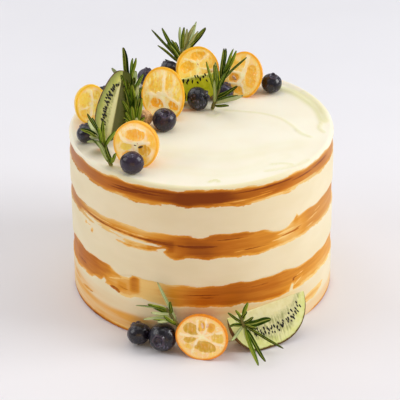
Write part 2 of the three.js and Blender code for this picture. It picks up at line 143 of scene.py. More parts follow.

# Strokes on the side are [azimuth, height, half length, half thickness, slope], all but the
# azimuth in millimetres along the surface.
# The two smears at a height of 0.8 lay a caramel line round the foot that stands for a painted reflection and
# contact shadow.
SMEARS = [
    [-27.5, 66.2, 13, 1.5, 0.02], [-37, 66.2, 4, 0.5, 0], [-33, 65.6, 4, 1.3, 0], [-60, 66, 1.6, 1.3, 0.2],
    [-55, 63.6, 1.9, 2.1, 0.5], [-57, 66.3, 3, 0.4, 0.1], [-11.5, 65.3, 8, 4.2, -0.1],
    [-61, 15.4, 9, 1.6, 0.12], [-74, 17, 9, 1.2, 0], [-50, 0.8, 66, 2.9, 0], [72, 0.8, 30, 2.4, 0],
    [56, 13.4, 14, 3.4, 0.05], [62, 15.5, 9, 1.6, 0.08], [44, 78.6, 1.8, 3.2, 0.1], [-135, 67, 18, 2, 0.05],
    [165, 57, 9, 1.2, 0], [105, 16, 22, 2.4, -0.05], [-150, 90, 12, 0.8, 0.03], [-100, 14, 14, 1.4, 0.02],
]
WINDOWS = [
    [-36.4, 43, 7.4, 3, -0.1], [42, 27, 1.6, 2.6, 1.2], [-48.5, 28.6, 2.6, 3.4, 0.9],
    [-56.5, 71.4, 13, 0.8, -0.05], [-33, 70.2, 18, 0.8, -0.04], [-22, 69.4, 9, 0.8, 0],
    [-16.4, 67.6, 2.2, 1.2, 0.3], [98, 70, 16, 1, 0.05], [-125, 35, 14, 0.9, 0.04],
]
DRAG_LINES = [
    [-38, 73, 46, 0.5, -0.022], [-56, 74.2, 14, 0.45, -0.01], [-26, 71.5, 22, 0.45, -0.01],
    [-2, 70.9, 15, 0.9, 0], [-29, 105.6, 19, 0.85, 0], [-36, 103.8, 12, 0.5, 0.02], [-22, 107.5, 16, 0.4, 0],
    [0, 35.6, 13, 0.4, 0], [2, 33.7, 10, 0.4, 0], [-41.5, 28, 5.5, 1.9, -0.1], [-36.5, 31.6, 4, 0.35, -0.1],
    [41, 69.2, 9, 0.75, 0.02], [45, 70.2, 5, 0.4, 0.06], [62, 107, 12, 0.6, 0], [30, 107.8, 26, 0.6, 0.01],
    [50, 106.4, 14, 0.5, 0.02], [44.5, 34.2, 5, 0.4, 0.1], [43, 32.8, 1, 0.9, 0.4], [110, 38, 20, 0.6, 0.02],
    [-110, 74, 26, 0.7, -0.01], [-165, 105, 22, 0.6, 0], [-61, 79, 3, 0.8, 0], [-56, 15.4, 6, 0.8, 0.15],
    [12, 75.4, 14, 0.35, 0.02], [22, 66.4, 12, 0.35, 0], [-66, 33, 12, 0.4, 0], [24, 38, 12, 0.35, 0],
]
# Painted highlights: pale lines on the lit lips beside the scraper lines and along the stripes' edges.
PAINTED_HIGHLIGHT_LINES = [
    [15, 102, 17, 0.6, 0.05], [27, 103.2, 9, 0.4, 0.06], [50, 101.8, 17, 0.6, 0.03],
    [33, 100.7, 9, 0.5, 0.02], [30, 105, 8, 0.3, 0.03], [37, 68.1, 10, 0.6, 0.05],
    [38.5, 71.6, 8, 0.7, 0.08], [56, 71.5, 8, 0.5, 0.12], [60, 74.4, 5, 0.4, 0.12], [54, 67, 6, 0.4, 0.1],
    [46, 30.4, 6, 0.5, 0.5], [-41, 36.4, 8, 0.4, 0.3], [-37, 71.6, 40, 0.35, -0.024], [16, 66, 4, 0.4, 0.1],
    [47, 35.2, 5, 0.4, 0.2], [-30, 74.4, 16, 0.4, -0.02], [-50, 75.4, 14, 0.4, 0],
    [-44, 71.9, 12, 0.35, -0.03], [-95, 40, 12, 0.6, 0], [130, 74, 18, 0.6, 0.02],
]
# Softer changes of the side: [azimuth, half width, height, half height, amount].
# The first two dark patches deepen that line at the foot into painted shade.
DARK_PATCHES = [
    [-58, 26, 0.4, 1.8, 0.42], [66, 20, 0.4, 1.6, 0.2], [-59, 12.5, 34, 4, 0.12], [-57, 13.5, 41, 4, 0.12],
    [-30.4, 2.2, 37.6, 6.4, 0.34], [-18, 6, 70, 4, 0.24], [-37, 2.4, 33, 3, 0.14], [-9, 1.2, 107, 4, 0.08],
    [-41, 3, 28.2, 1.4, 0.2], [44, 1.6, 77, 3, 0.14],
]
LIGHT_PATCHES = [
    [-36, 24, 78, 2.2, 0.22], [-48, 16, 70.6, 1.8, 0.25], [40, 7, 69, 8, 0.14], [-20, 7, 36, 8, 0.08],
    [-23, 5, 36, 8, 0.2], [30, 34, 100.3, 1.5, 0.4], [-28, 15, 100, 1.5, 0.4], [-13, 5, 65, 4.4, 0.22],
    [-27, 9, 66, 2.2, 0.15], [57, 9, 13.8, 4, 0.24], [-66, 14, 67.5, 3, 0.1], [58, 16, 28, 4, 0.15],
    [100, 14, 66, 5, 0.2], [-105, 14, 40, 5, 0.2], [-20, 6, 27.5, 2, 0.2], [46, 10, 103.6, 2, 0.14],
    [0, 176, 111.2, 1.4, 0.45], [-26.4, 1.6, 37, 7, 0.3], [-20, 7, 76.5, 2.6, 0.12],
]
# Painted reflection: the caramel greyed where the side turns away to the left and right, as the glossy
# caramel would mirror the room.
PAINTED_REFLECTION_PATCHES = [
    [-76, 12, 104, 8, 0.42], [-78, 11, 74, 8, 0.45], [66, 18, 104, 8, 0.25], [70, 18, 72, 10, 0.25],
    [-60, 14, 74, 6, 0.2], [-64, 18, 104, 8, 0.26], [-72, 12, 36, 9, 0.12], [110, 30, 104, 9, 0.15],
]
# Amber washes low on the side: partly thin caramel, and near the foot a painted warm bounce light.
AMBER_WASH_AND_BOUNCE = [
    [-50, 26, 5, 9, 0.66], [-29, 8, 10, 5, 0.5], [-72, 16, 15, 5, 0.5], [62, 18, 4, 5, 0.35],
    [8, 12, 24, 3, 0.2], [-120, 40, 4, 7, 0.4], [120, 50, 3, 6, 0.4], [-12, 10, 22, 4, 0.2],
    [-76, 10, 22, 4, 0.25], [44, 6, 20, 5, 0.25], [-52, 20, 20, 4, 0.14], [24, 10, 22, 3, 0.2],
]

# The top: a thin ridge left by the spatula, a smear along the rim, nicks and knife strokes, each as
# how wide and how high it is, and then points on the top.
TOP_RIDGES = [
    [1, 0.5, [[16, 21], [30, 18.5], [42, 15], [52, 8], [59, -2], [62, -10]]],
    [1.2, 0.6, [[62, -9], [65, -14], [70, -18]]],
    [2.8, 0.8, [[52, 54], [62, 46], [71, 33], [77, 20], [80, 4]]],
    [1.5, 0.6, [[68, 46], [76, 31], [81, 14]]],
    [1.2, 0.6, [[78, 2], [76.5, -6], [79, -12]]],
    [1.1, 0.7, [[5, -77.5], [8.5, -75.6], [10.5, -77.4]]],
    [1.1, 0.5, [[44, -55], [51, -54], [57, -55.5]]],
    [1.4, -0.45, [[40, -63.5], [50, -60.5], [60, -56], [67, -50]]],
    [1.6, 0.5, [[-58, -56], [-50, -60], [-43, -67]]],
    [1.6, 0.35, [[5, 14], [9, 12.5], [11, 15]]],
    [7, 0.16, [[-40, -30], [10, -44], [60, -28]]],
    [5, -0.14, [[-20, -60], [20, -66], [52, -44]]],
]
# Juice stains on the top, and painted shadows on it: [x, y, half length, half width, amount]
JUICE_SPOTS = [
    [-9, 21.5, 6, 2.6, 0.8], [-33, -6, 7, 3, 0.9], [31.5, 41, 10, 2.6, 0.35], [-63, -33, 3, 2, 0.7],
    [-78.5, -2, 3.5, 4, 0.4], [-12, 30, 8, 3, 0.7],
]
# Painted shadow on the icing round the fruit and rosemary on the left of the top.
PAINTED_SHADOW_SPOTS = [
    [-76, -32, 10, 7, 0.6], [-65, -37, 8, 7, 1], [-62, -26, 10, 8, 0.7], [-40, -9, 6, 4, 0.4],
    [-48, -60, 9, 4, 0.2],
]
# A painted shade along the front rim, where the rounded edge turns from the light, with a faint caramel tint
# in it: the middle azimuth and half width of the stretch, and how far in from the rim the band lies and its
# half width.
PAINTED_RIM_SHADE = {"azimuth": -2, "half_width": 44, "from_rim": 1.2, "half_band": 1.3}

# Berries: the middle, the radius, which way the crown points, and for some how violet they are.
BERRIES = [
    {"at": [-73.2, -22.5, 119], "radius": 6.7, "crown": [-0.3, 0.5, 0.8]},
    {"at": [-43.3, -64.5, 119.9], "radius": 7.6, "crown": [0.1, 0.9, 0.3], "violet": 1.5},
    {"at": [-23.8, -5.4, 120], "radius": 7.8, "crown": [0.05, -0.55, 0.8]},
    {"at": [-2.1, 25, 120], "radius": 7.9, "crown": [0.95, 0.1, 0.25], "violet": 0.1},
    {"at": [-15.4, 30.5, 118.6], "radius": 6, "crown": [0.2, 0.3, 0.9]},
    {"at": [-36.3, 59.8, 118.9], "radius": 6.4, "crown": [0.1, -0.1, 1]},
    {"at": [-21.6, 70.6, 119], "radius": 6.6, "crown": [-0.4, 0.7, 0.6]},
    {"at": [15.2, 36.4, 119], "radius": 6.6, "crown": [0.3, 0.6, 0.7]},
    {"at": [47.4, 48.7, 119.2], "radius": 6.9, "crown": [0.1, -0.25, 0.95]},
    {"at": [-64.9, 33.1, 118.8], "radius": 6.3, "crown": [0.5, 0.4, 0.8]},
    {"at": [-38.5, 32.5, 118.6], "radius": 6, "crown": [-0.4, -0.3, 0.8]},
    {"at": [-40.9, -85.3, 7.5], "radius": 7.7, "crown": [-0.3, 0.6, 0.7]},
    {"at": [-25.8, -92.2, 9.2], "radius": 9.2, "crown": [-0.3, -0.9, 0.2]},
]
BERRY_FLATNESS = 0.9
BERRY_PIT = 0.12
CROWN_TURN = 0.33
CROWN_THICKNESS = 0.075
CROWN_RISE = 0.045
LOBE_RISE = 0.12
BERRY_CROWDING = 0.62
BERRY_RINGS = 44
BALL_COLUMNS = 60

# Kumquat halves: the middle of the cut face, its half width and half height, the depth of the dome
# behind it, where the face looks and how far it is turned in its own plane. Places on the face are
# shares of its half width and half height. A cell is [right, up, half width, half height, tilt,
# orange, painted shade in its hollow, depth], a membrane is a path with its width, and a pip is
# [right, up, tilt, browning]. Then come the colours of the walls and the peel, how far the walls blush,
# how streaked the pulp is and how strongly the cut face glows, a painted glow for the light that comes
# through it.
KUMQUATS = [
    {
        "at": [-71.2, 7.3, 124.8], "half": [11, 13.2], "depth": 12,
        "azimuth": 25, "lift": 12, "roll": 0,
        "cells": [
            [-0.32, 0.28, 0.42, 0.46, 20, 0.05, 0.05, 0.4], [0.38, 0.42, 0.28, 0.28, -30, 0, 0.35, 0.6],
            [-0.44, -0.42, 0.3, 0.3, 0, 0.3, 0, 0.4], [0.24, -0.2, 0.28, 0.38, 10, 0, 0, 0.2],
            [0, -0.7, 0.34, 0.16, 0, 0.7, 0, 0.4],
        ],
        "membranes": [
            [[0.06, 0.75], [0.1, 0.2], [0, -0.1], [-0.1, -0.5], 0.5], [[0, -0.1], [-0.6, -0.14], 0.4],
        ],
        "pips": [], "wall": [252, 234, 164], "peel": [252, 202, 56], "blush": 0.7, "streaks": 0.7,
        "glow": 0.3,
    },
    {
        "at": [-41.2, -53.5, 126.6], "half": [15.1, 15.2], "depth": 14,
        "azimuth": -20, "lift": 12, "roll": 0,
        "cells": [
            [-0.06, 0.42, 0.47, 0.25, 4, 0.7, 0, 1.7], [0.42, -0.18, 0.28, 0.25, -25, 0.65, 0.5, 1.6],
            [-0.42, -0.12, 0.25, 0.17, 15, 0, 0.15, 0.9], [-0.2, -0.5, 0.36, 0.22, 0, 0.9, 0, 1],
            [0.68, 0.3, 0.2, 0.44, 20, 0.55, 0, 0.2], [-0.74, 0.2, 0.17, 0.36, -15, 0.3, 0.1, 0.3],
            [0.36, -0.62, 0.3, 0.22, 30, 0.55, 0, 0.3],
        ],
        "membranes": [
            [[-0.74, 0.42], [-0.56, 0.14], [-0.24, 0.04], [0.12, 0.1], [0.56, 0.16], 0.8],
            [[-0.6, 0.6], [-0.1, 0.76], [0.4, 0.62], 0.4], [[0, 0.04], [0.08, -0.4], 0.7],
        ],
        "pips": [[0.02, -0.02, 80, 0.9], [0.2, -0.06, 110, 1], [0.1, 0.07, 60, 0.3]],
        "wall": [255, 226, 180], "peel": [252, 184, 54], "blush": 0.6, "streaks": 0.3,
        "glow": 0.28,
    },
    {
        "at": [-24.8, 11.1, 129.3], "half": [14.6, 18.4], "depth": 12.5,
        "azimuth": -15, "lift": 15, "roll": 4,
        "cells": [
            [-0.37, 0.44, 0.34, 0.44, 24, 0.3, 0.06, 0.4], [0.24, 0.5, 0.24, 0.4, -8, 0.3, 0.04, 0.4],
            [0.68, 0.12, 0.2, 0.5, -12, 0.05, 0, 0.2], [-0.24, -0.28, 0.34, 0.17, -8, 1.2, 0.1, 1.4],
            [0.48, -0.37, 0.24, 0.15, -24, 1.2, 0, 1.2], [-0.74, -0.14, 0.15, 0.4, 5, 0.15, 0.3, 0.3],
            [0.1, -0.68, 0.34, 0.18, 0, 0.6, 0, 0.5],
        ],
        "membranes": [
            [[-0.62, 0.06], [-0.3, -0.02], [-0.06, -0.12], [0.14, -0.46], 0.8],
            [[-0.2, 0.06], [0.06, 0.04], [0.3, -0.1], [0.7, -0.28], 0.8], [[0, 0.06], [0.08, 0.84], 0.6],
        ],
        "pips": [], "wall": [254, 236, 176], "peel": [250, 186, 40], "blush": 0.4, "streaks": 1.2,
        "glow": 0.28,
    },
    {
        "at": [-1.9, 54.3, 126.7], "half": [14.7, 15.7], "depth": 14,
        "azimuth": 15, "lift": 12, "roll": 0,
        "cells": [
            [0.06, 0.6, 0.4, 0.2, 0, 0.7, 0.05, 1.2], [-0.5, 0.18, 0.34, 0.24, 16, 0.7, 0.05, 1.3],
            [0.62, 0.26, 0.25, 0.32, -20, 0.45, 0, 0.4], [0.46, -0.38, 0.33, 0.26, 30, 0.6, 0.1, 0.7],
            [-0.4, -0.5, 0.36, 0.22, -20, 0.5, 0.5, 1.1], [-0.24, 0.42, 0.07, 0.045, 0, 0.2, 1.2, 0.4],
        ],
        "membranes": [
            [[0.02, 0.36], [0.02, 0], [-0.05, -0.4], 0.9], [[0.05, 0.1], [0.5, -0.04], [0.84, -0.08], 0.6],
            [[0.04, 0.3], [0.5, 0.62], 0.5], [[0, 0.3], [-0.6, 0.56], 0.5],
        ],
        "pips": [[0.02, 0.24, 30, 0.1]], "wall": [254, 214, 116], "peel": [250, 184, 24], "blush": 0.3,
        "streaks": 0.3, "glow": 0.14,
    },
    {
        "at": [27.7, 46.6, 126.3], "half": [13.3, 15.8], "depth": 12.5,
        "azimuth": -20, "lift": 25, "roll": -6,
        "cells": [
            [0.45, 0.04, 0.3, 0.5, 12, 0.7, 0, 1.1], [-0.12, 0.58, 0.16, 0.28, 8, 0.55, 0, 0.6],
            [-0.5, 0.34, 0.23, 0.27, 20, 0.45, 0.05, 0.6], [-0.4, -0.2, 0.27, 0.21, 0, 1, 0.3, 2],
            [0, -0.65, 0.32, 0.18, -8, 0.8, 0, 0.8], [-0.42, -0.62, 0.19, 0.13, -30, 0.6, 0, 0.5],
        ],
        "membranes": [
            [[0.1, 0.86], [0.06, 0.3], [0.02, -0.1], [-0.1, -0.42], 1], [[-0.1, -0.42], [-0.6, -0.46], 0.5],
            [[0, 0.1], [-0.7, 0.04], 0.5], [[0, -0.3], [0.3, -0.72], 0.6],
        ],
        "pips": [[-0.38, -0.2, 60, 0.35]], "wall": [254, 216, 134], "peel": [250, 174, 30], "blush": 0.3,
        "streaks": 0.1, "glow": 0.16,
    },
    {
        "at": [-0.9, -101.3, 14.3], "half": [16.9, 15.2], "depth": 12,
        "azimuth": -15, "lift": 15, "roll": 0,
        "cells": [
            [-0.42, 0.31, 0.32, 0.25, -14, 0.1, 0.85, 2], [0, 0.52, 0.17, 0.22, 0, 0.4, 0.2, 1.3],
            [0.31, 0.47, 0.18, 0.21, -20, 0.7, 0.3, 1.6], [0.62, 0.06, 0.25, 0.23, 0, 0.2, 0.4, 0.8],
            [0.14, -0.38, 0.42, 0.24, -4, 0.2, 0.8, 2], [-0.46, -0.15, 0.27, 0.14, 22, 0.15, 0.7, 1.5],
            [-0.5, -0.46, 0.2, 0.13, -20, 0.3, 0.2, 0.5],
        ],
        "membranes": [
            [[0, 0.06], [-0.18, 0.3], [-0.2, 0.7], 0.5], [[0, 0.06], [0.15, 0.34], [0.14, 0.7], 0.5],
            [[0, 0.06], [0.4, 0.2], [0.76, 0.34], 0.5], [[0, 0.06], [0.4, -0.14], [0.8, -0.24], 0.6],
            [[0, 0.06], [-0.3, 0.02], [-0.8, 0.04], 0.6], [[0, 0.06], [-0.2, -0.24], [-0.34, -0.7], 0.5],
        ],
        "pips": [[0, 0.5, 14, 0], [0.17, 0.52, -16, 0]],
        "wall": [244, 208, 146], "peel": [240, 146, 14], "blush": 0.4, "streaks": 0.2, "glow": 0.12,
    },
]
KUMQUAT_COLUMNS = 150
KUMQUAT_FACE_RINGS = 46
KUMQUAT_DOME_RINGS = 20
CELL_DEPTH = 0.55
CELL_EDGE_DEPTH = 0.1
WALL_RISE = 0.16
SAC_RISE = 0.22
FACE_WOBBLE = 0.14
PORE_DEPTH = 0.05
PEEL_WIDTH = 1.5
PEEL_RISE = 0.18
PITH_WIDTH = 1.7
PIP_COLUMNS = 14
PIP_HALF_LENGTH = 2.0
PIP_GIRTH = 0.95
PIP_SINK = 0.5
KUMQUAT_END = {"at": [-36.6, 0.4, 118.2], "radius": 5.4, "crown": [-0.45, -0.75, 0.6]}
END_FLATNESS = 0.92
END_CROWDING = 0.6
END_RINGS = 40

# Kiwi wedges: the two ends of the core edge, the radius of the fruit round it, how blunt each end
# is, the directions in which the two cut faces leave the core edge, how many seeds show on each, how
# far out their row lies and bows and where along the wedge it starts and ends, how pale the flesh
# is, how strongly it glows as a painted stand-in for the light that comes through it, how wide and
# how strong the darker flesh under the skin is, and how dark each face is painted in the shade of its
# neighbours.
KIWIS = [
    {
        "core": [[-62.6, -24.2, 94], [-49, -17.8, 160.5]], "radius": 21, "bluntness": [2, 1.3],
        "faces": [[0.7, 0.71, -0.2], [-0.56, 0.83, 0.05]], "seeds": [12, 40],
        "row": [-0.16, 0.62], "spread": [-0.28, 0.74], "rind": [9, 0.85], "shade": [0.92, 0.04],
        "paleness": 0.5, "glow": 0.14,
    },
    {
        "core": [[-26, 36.4, 126.2], [13, 36.4, 134.4]], "radius": 19, "bluntness": [2, 2.6],
        "faces": [[-0.05, 0.83, -0.5], [0.1, -0.1, -1]], "seeds": [0, 24],
        "row": [0.04, 0.03], "spread": [-0.75, 0.6], "rind": [2.2, 0.55], "shade": [0.2, 0],
        "paleness": 0.04, "glow": 0.62,
    },
    {
        "core": [[15.4, -91.1, 22], [64.6, -66.2, 26.9]], "radius": 27, "bluntness": [4, 2.2],
        "faces": [[-0.05, 0.1, -1], [0.47, -0.33, -0.82]], "seeds": [0, 50],
        "row": [0.02, 0.54], "spread": [-0.62, 0.82], "rind": [2.2, 0.55], "shade": [0.3, 0],
        "paleness": 1, "glow": 0.34,
    },
]
KIWI_RINGS = 72
KIWI_FACE_STEPS = 26
KIWI_SKIN_STEPS = 20
SEED_LENGTH = 2.6
SEED_WIDTH = 1.25
SEED_COLUMNS = 8
SEED_STAGGER = (0, 2.8, 1.4)
SEED_SCATTER = 1.3
SEED_RISE = 0.2
KIWI_FACE_UNEVENNESS = 0.14
KIWI_FACE_RISE = 0.1

# Rosemary sprigs: the cut end of the stem, the stem's swing (towards +X), lean (towards the front)
# and length, the leaves as [share of the stem, swing, lean, length, width], and which of them turn
# their pale underside to the front.
SPRIGS = [
    {
        "at": [-56.5, -56, 113.6],
        "stem": [-18, 5, 24.2],
        "leaves": [
            [1, -18, 5, 18, 2.2], [0.55, -2, -4, 20, 2.6], [0.95, -45, 25, 17, 3.2], [0.9, -70, 8, 7, 2.2],
            [0.6, 28, 24, 21, 2], [0.05, 21, 20, 12, 2.2], [0.8, -75, 22, 10, 2], [1, -18, -20, 12, 2.2],
            [0.1, -21, 16, 22, 2.6], [0, -10, 16, 19, 2.4], [0.02, -24, 10, 15, 2.2],
            [0.85, -26, 14, 19, 1.8], [0.4, -30, 14, 16, 2], [0.65, -12, 12, 16, 2], [0, 2, 26, 10, 2],
        ],
        "pale": [3, 6, 8, 11],
    },
    {
        "at": [-46.2, 3, 113.6],
        "stem": [1, 5, 29.7],
        "leaves": [
            [0.9, -6, 10, 34, 3.6], [1, 5, -10, 18, 2], [1, 15, 5, 21, 2], [0.55, 10, -15, 21, 4],
            [0.6, 34, -34, 19, 2.4], [0.55, -14, -12, 20, 2.2], [0.7, -15, -15, 15, 2.4],
            [0.35, 12, -30, 17, 2.4], [0.3, -10, -25, 13, 2.2], [0.2, 8, -20, 18, 2.4],
            [0.4, -4, -35, 21, 2.4], [0.8, 14, 22, 16, 2.6], [0.15, -15, -3, 35, 3.2], [0.5, 2, 14, 24, 2.6],
            [0.75, -10, 16, 22, 2.6], [0.3, 16, 16, 20, 2.6], [0.9, 9, 10, 14, 2], [0.9, -38, -8, 18, 3],
        ],
        "pale": [3, 6, 15, 17],
    },
    {
        "at": [-13.3, 75.5, 113.6],
        "stem": [1, -6, 16.5],
        "leaves": [
            [0.5, -36, -3, 32, 2.1], [0.6, -33, -18, 26, 2.4], [0.85, -25, 8, 15, 2],
            [0.9, -5, -15, 19, 1.9], [1, 8, 4, 20, 2.1], [0.8, 17, -12, 16, 2], [0.8, 20, 0, 26, 2.8],
            [0.8, 38, -12, 26, 2.4], [0.7, 39, -4, 28, 2.2], [0.4, -36, -30, 18, 2.4],
            [0.5, 26, -30, 30, 2.2], [0.45, -20, -40, 16, 2.2], [0.8, 13, 2, 22, 2.2], [0.7, 26, 4, 25, 2.2],
            [0.45, -44, 2, 22, 2.2], [0.3, -58, 4, 13, 2.2], [0.5, -24, 6, 17, 2], [0.8, 33, 2, 15, 2],
        ],
        "pale": [3, 6, 10, 12, 13],
    },
    {
        "at": [7.4, 22, 113.6],
        "stem": [16, 4, 25.8],
        "leaves": [
            [0.35, -9, 12, 32, 1.9], [0.35, -2, 22, 35, 2.6], [0.5, -1, 4, 24, 2.4], [0.85, 2, 10, 28, 2.4],
            [1, 8, -2, 21, 2], [1, 15, 8, 24, 2], [0.95, 27, 2, 23, 2], [0.85, 36, 10, 27, 2],
            [0.3, 52, 14, 18, 2.4], [0.25, 56, 26, 20, 2], [0.15, 66, 12, 22, 2.4], [0.6, -7, 28, 17, 2],
            [0.7, 24, 14, 20, 1.9], [0.3, -2, 16, 31, 1.8], [0.15, 4, 22, 25, 2.2], [0.5, 12, 18, 20, 2],
            [0.35, 60, 4, 17, 2], [0.9, 22, -6, 18, 1.9], [0.1, 76, 24, 12, 2],
        ],
        "pale": [2, 10, 14],
    },
    {
        "at": [-14.8, -91, 15.2],
        "stem": [-31, -6, 16],
        "leaves": [
            [0.2, -20, -8, 32, 2.2], [0.7, 0, 10, 12, 2.2], [1, -77, 0, 20, 2], [0.8, -69, -8, 15, 2.2],
            [0.6, -84, 12, 19, 2.4], [0.7, -71, 15, 14, 2.6], [0.4, -75, 25, 13, 2.2],
            [0.95, -62, 6, 12, 2.2], [0.3, -66, 16, 16, 2.2], [0.1, -44, 12, 14, 2.2],
        ],
        "pale": [0, 2, 4, 5, 6],
    },
    {
        "at": [26, -93.4, 17],
        "stem": [-13, 8, 9.3],
        "leaves": [
            [0.3, -44, 5, 14, 2.1], [0.6, 13, -5, 14, 2.6], [0.8, 19, 18, 9, 2.2], [0.2, 86, -16, 18, 5.2],
            [0.1, -127, 35, 13, 2.2], [0.1, 117, 8, 29, 2.4], [0.1, 138, 43, 28, 2.4],
            [0.1, 148, 54, 30, 2.8], [0.4, -89, 22, 10, 2.2], [0.2, 85, 30, 10, 2.2], [0.6, -22, 10, 11, 2],
            [0.3, 40, 20, 11, 2.2], [0.1, 155, 46, 18, 2.4], [0.2, -70, 30, 9, 2],
        ],
        "pale": [4, 12],
    },
]
# A short shoot of the second sprig that lies in front of the first kiwi wedge.
FRONT_SHOOT = {
    "at": [-42.5, -10.5, 113.6],
    "stem": [-4, 4, 17],
    "leaves": [
        [0.1, -17, 6, 24, 3.2], [0.3, -5, 4, 34, 3.6], [0.6, 7, 2, 26, 3], [0.5, -24, 8, 19, 3],
        [0.2, 13, 4, 24, 3.2], [0.8, 0, 6, 24, 3.4], [0.05, -34, 12, 15, 2.8], [0.9, 15, 0, 20, 2.2],
        [0.1, 30, 10, 13, 2.4], [0.45, -12, 8, 27, 3], [0.7, -14, 2, 22, 3], [0.9, -9, 4, 26, 3.2],
        [0.4, 4, 8, 22, 3], [0.15, -6, 12, 20, 3.2], [0.95, -3, -2, 27, 2.6], [0.3, -27, 14, 14, 2.6],
        [0, 4, 20, 15, 2.8], [0.6, 14, 8, 18, 2.4], [0.65, -17, 8, 29, 3.2], [0.85, -13, 9, 33, 3],
        [0.4, -21, 12, 22, 2.8],
    ],
    "pale": [2, 16],
}
STEM_RADIUS = 1.2
STEM_TIP_RADIUS = 0.8
STEM_COLUMNS = 20
STEM_RINGS = 28
STEM_KNOTS = 5
KNOT_RISE = 0.12
LEAF_WIDTH = 2.6
LEAF_WIDTH_SHARE = 0.16
LEAF_THICKNESS = 0.95
LEAF_BOW = 0.07
LEAF_WAVE = 0.12
LEAF_FOLD = 0.5
LEAF_STEPS = 16
LEAF_GROOVE = 0.3


def paint(red, green, blue):
    """A colour as the eye reads it, 0 to 255, turned into the shader's linear light."""
    linear = [((c / 255 + 0.055) / 1.055) ** 2.4 if c > 10 else c / 3295 for c in (red, green, blue)]
    return (*linear, 1.0)


class Signal:
    """A value that changes over a surface. Sums on it add the nodes that work them out."""

    def __init__(self, finish, socket):
        self.finish = finish
        self.socket = socket

    def maths(self, operation, *values, clamp=False):
        settings = {"operation": operation, "use_clamp": clamp}
        return self.finish.node("ShaderNodeMath", settings, dict(enumerate(values)))

    def __add__(self, other):
        return self.maths("ADD", self, other)

    def __sub__(self, other):
        return self.maths("SUBTRACT", self, other)

    def __rsub__(self, other):
        return self.maths("SUBTRACT", other, self)

    def __mul__(self, other):
        return self.maths("MULTIPLY", self, other)

    __radd__ = __add__
    __rmul__ = __mul__

    def clamped(self):
        return self.maths("ADD", self, 0.0, clamp=True)

    def sway(self, amount):
        """The value made to swing about 0, over a range of amount."""
        return (self - 0.5) * amount

    def rise(self, low, high):
        """0 below low, 1 above high, and a soft step between them."""
        settings = {"interpolation_type": "SMOOTHSTEP"}
        return self.finish.node(
            "ShaderNodeMapRange", settings, {"Value": self, "From Min": low, "From Max": high}
        )


class Finish:
    """One material: its shader, with the constants set on it, and the nodes that feed it."""

    def __init__(self, name, constants):
        self.material = bpy.data.materials.new(name)
        self.material.use_nodes = True
        self.tree = self.material.node_tree
        self.shader = self.tree.nodes["Principled BSDF"]
        for socket, value in constants.items():
            self.shader.inputs[socket].default_value = value

    def feed(self, socket, value):
        if isinstance(value, Signal):
            self.tree.links.new(value.socket, socket)
        else:
            socket.default_value = value

    def node(self, kind, settings=None, sockets=None, output=0):
        made = self.tree.nodes.new(kind)
        for key, value in (settings or {}).items():
            setattr(made, key, value)
        for key, value in (sockets or {}).items():
            self.feed(made.inputs[key], value)
        return Signal(self, made.outputs[output])

    def mark(self, name):
        """A value kept on the mesh's points."""
        return self.node("ShaderNodeAttribute", {"attribute_name": name}, output="Fac")

    def place(self, stretch=(1, 1, 1)):
        """Where the point is, in millimetres, stretched along the axes."""
        spot = self.node("ShaderNodeTexCoord", output="Object")
        scale = tuple(s / MM for s in stretch)
        return self.node("ShaderNodeVectorMath", {"operation": "MULTIPLY"}, {0: spot, 1: scale})

    def grain(self, size, stretch=(1, 1, 1), detail=2):
        """Soft cloudy noise from 0 to 1, its clouds size millimetres across."""
        sockets = {"Vector": self.place(stretch), "Scale": 1 / size, "Detail": detail}
        return self.node("ShaderNodeTexNoise", sockets=sockets, output="Fac")

    def pores(self, size):
        """The distance from the middle of scattered pits, size millimetres apart."""
        sockets = {"Vector": self.place(), "Scale": 1 / size}
        return self.node("ShaderNodeTexVoronoi", sockets=sockets, output="Distance")

    def blend(self, amount, first, second):
        """The first colour where amount is 0 and the second where it is 1."""
        return self.node("ShaderNodeMix", {"data_type": "RGBA"}, {0: amount, 6: first, 7: second}, 2)

    def dapple(self, signal, first, second):
        """Two colours that run into each other in soft patches."""
        return self.blend(signal.rise(0.3, 0.7), first, second)

    def coats(self, colour, *layers):
        """A colour with others laid over it in turn, each with how much of it."""
        for amount, layer in layers:
            colour = self.blend(amount, colour, layer)
        return colour

    def relief(self, height, depth, strength):
        """Feeds the shader's normal from a height, whose full range is depth millimetres."""
        sockets = {"Height": height, "Distance": depth * MM, "Strength": strength}
        self.feed(self.shader.inputs["Normal"], self.node("ShaderNodeBump", sockets=sockets))

    def wear(self, **signals):
        """Feeds the shader's sockets, named with low bars for spaces."""
        for socket, signal in signals.items():
            self.feed(self.shader.inputs[socket.replace("_", " ")], signal)
        return self


def unit(direction):
    direction = np.asarray(direction, float)
    return direction / np.linalg.norm(direction)


def rolled(angle):
    """A turn about Y."""
    c, s = math.cos(angle), math.sin(angle)
    return np.array([[c, 0, s], [0, 1, 0], [-s, 0, c]])


def facing(direction, roll=0.0):
    """The turn that takes Y to a direction, keeps Z as near upright as it can be, and then rolls."""
    out = unit(direction)
    side = unit(np.cross(out, (0, 0, 1)))
    return np.column_stack([side, out, np.cross(side, out)]) @ rolled(math.radians(roll))


def towards(swing, lean):
    """The direction of a stem or leaf: upright, swung towards +X and leaning to the front, in degrees."""
    across, forward = math.radians(swing), math.radians(lean)
    level = math.cos(forward)
    return np.array([math.sin(across) * level, -math.sin(forward), math.cos(across) * level])


def looking(azimuth, lift):
    """The direction out from the cake at an azimuth, lifted above the level."""
    turn, rise = math.radians(azimuth), math.radians(lift)
    return np.array([math.sin(turn) * math.cos(rise), -math.cos(turn) * math.cos(rise), math.sin(rise)])


def step(value, low, high):
    """0 below low, 1 above high, and a soft step between them."""
    share = np.clip((value - low) / (high - low), 0, 1)
    return share * share * (3 - 2 * share)


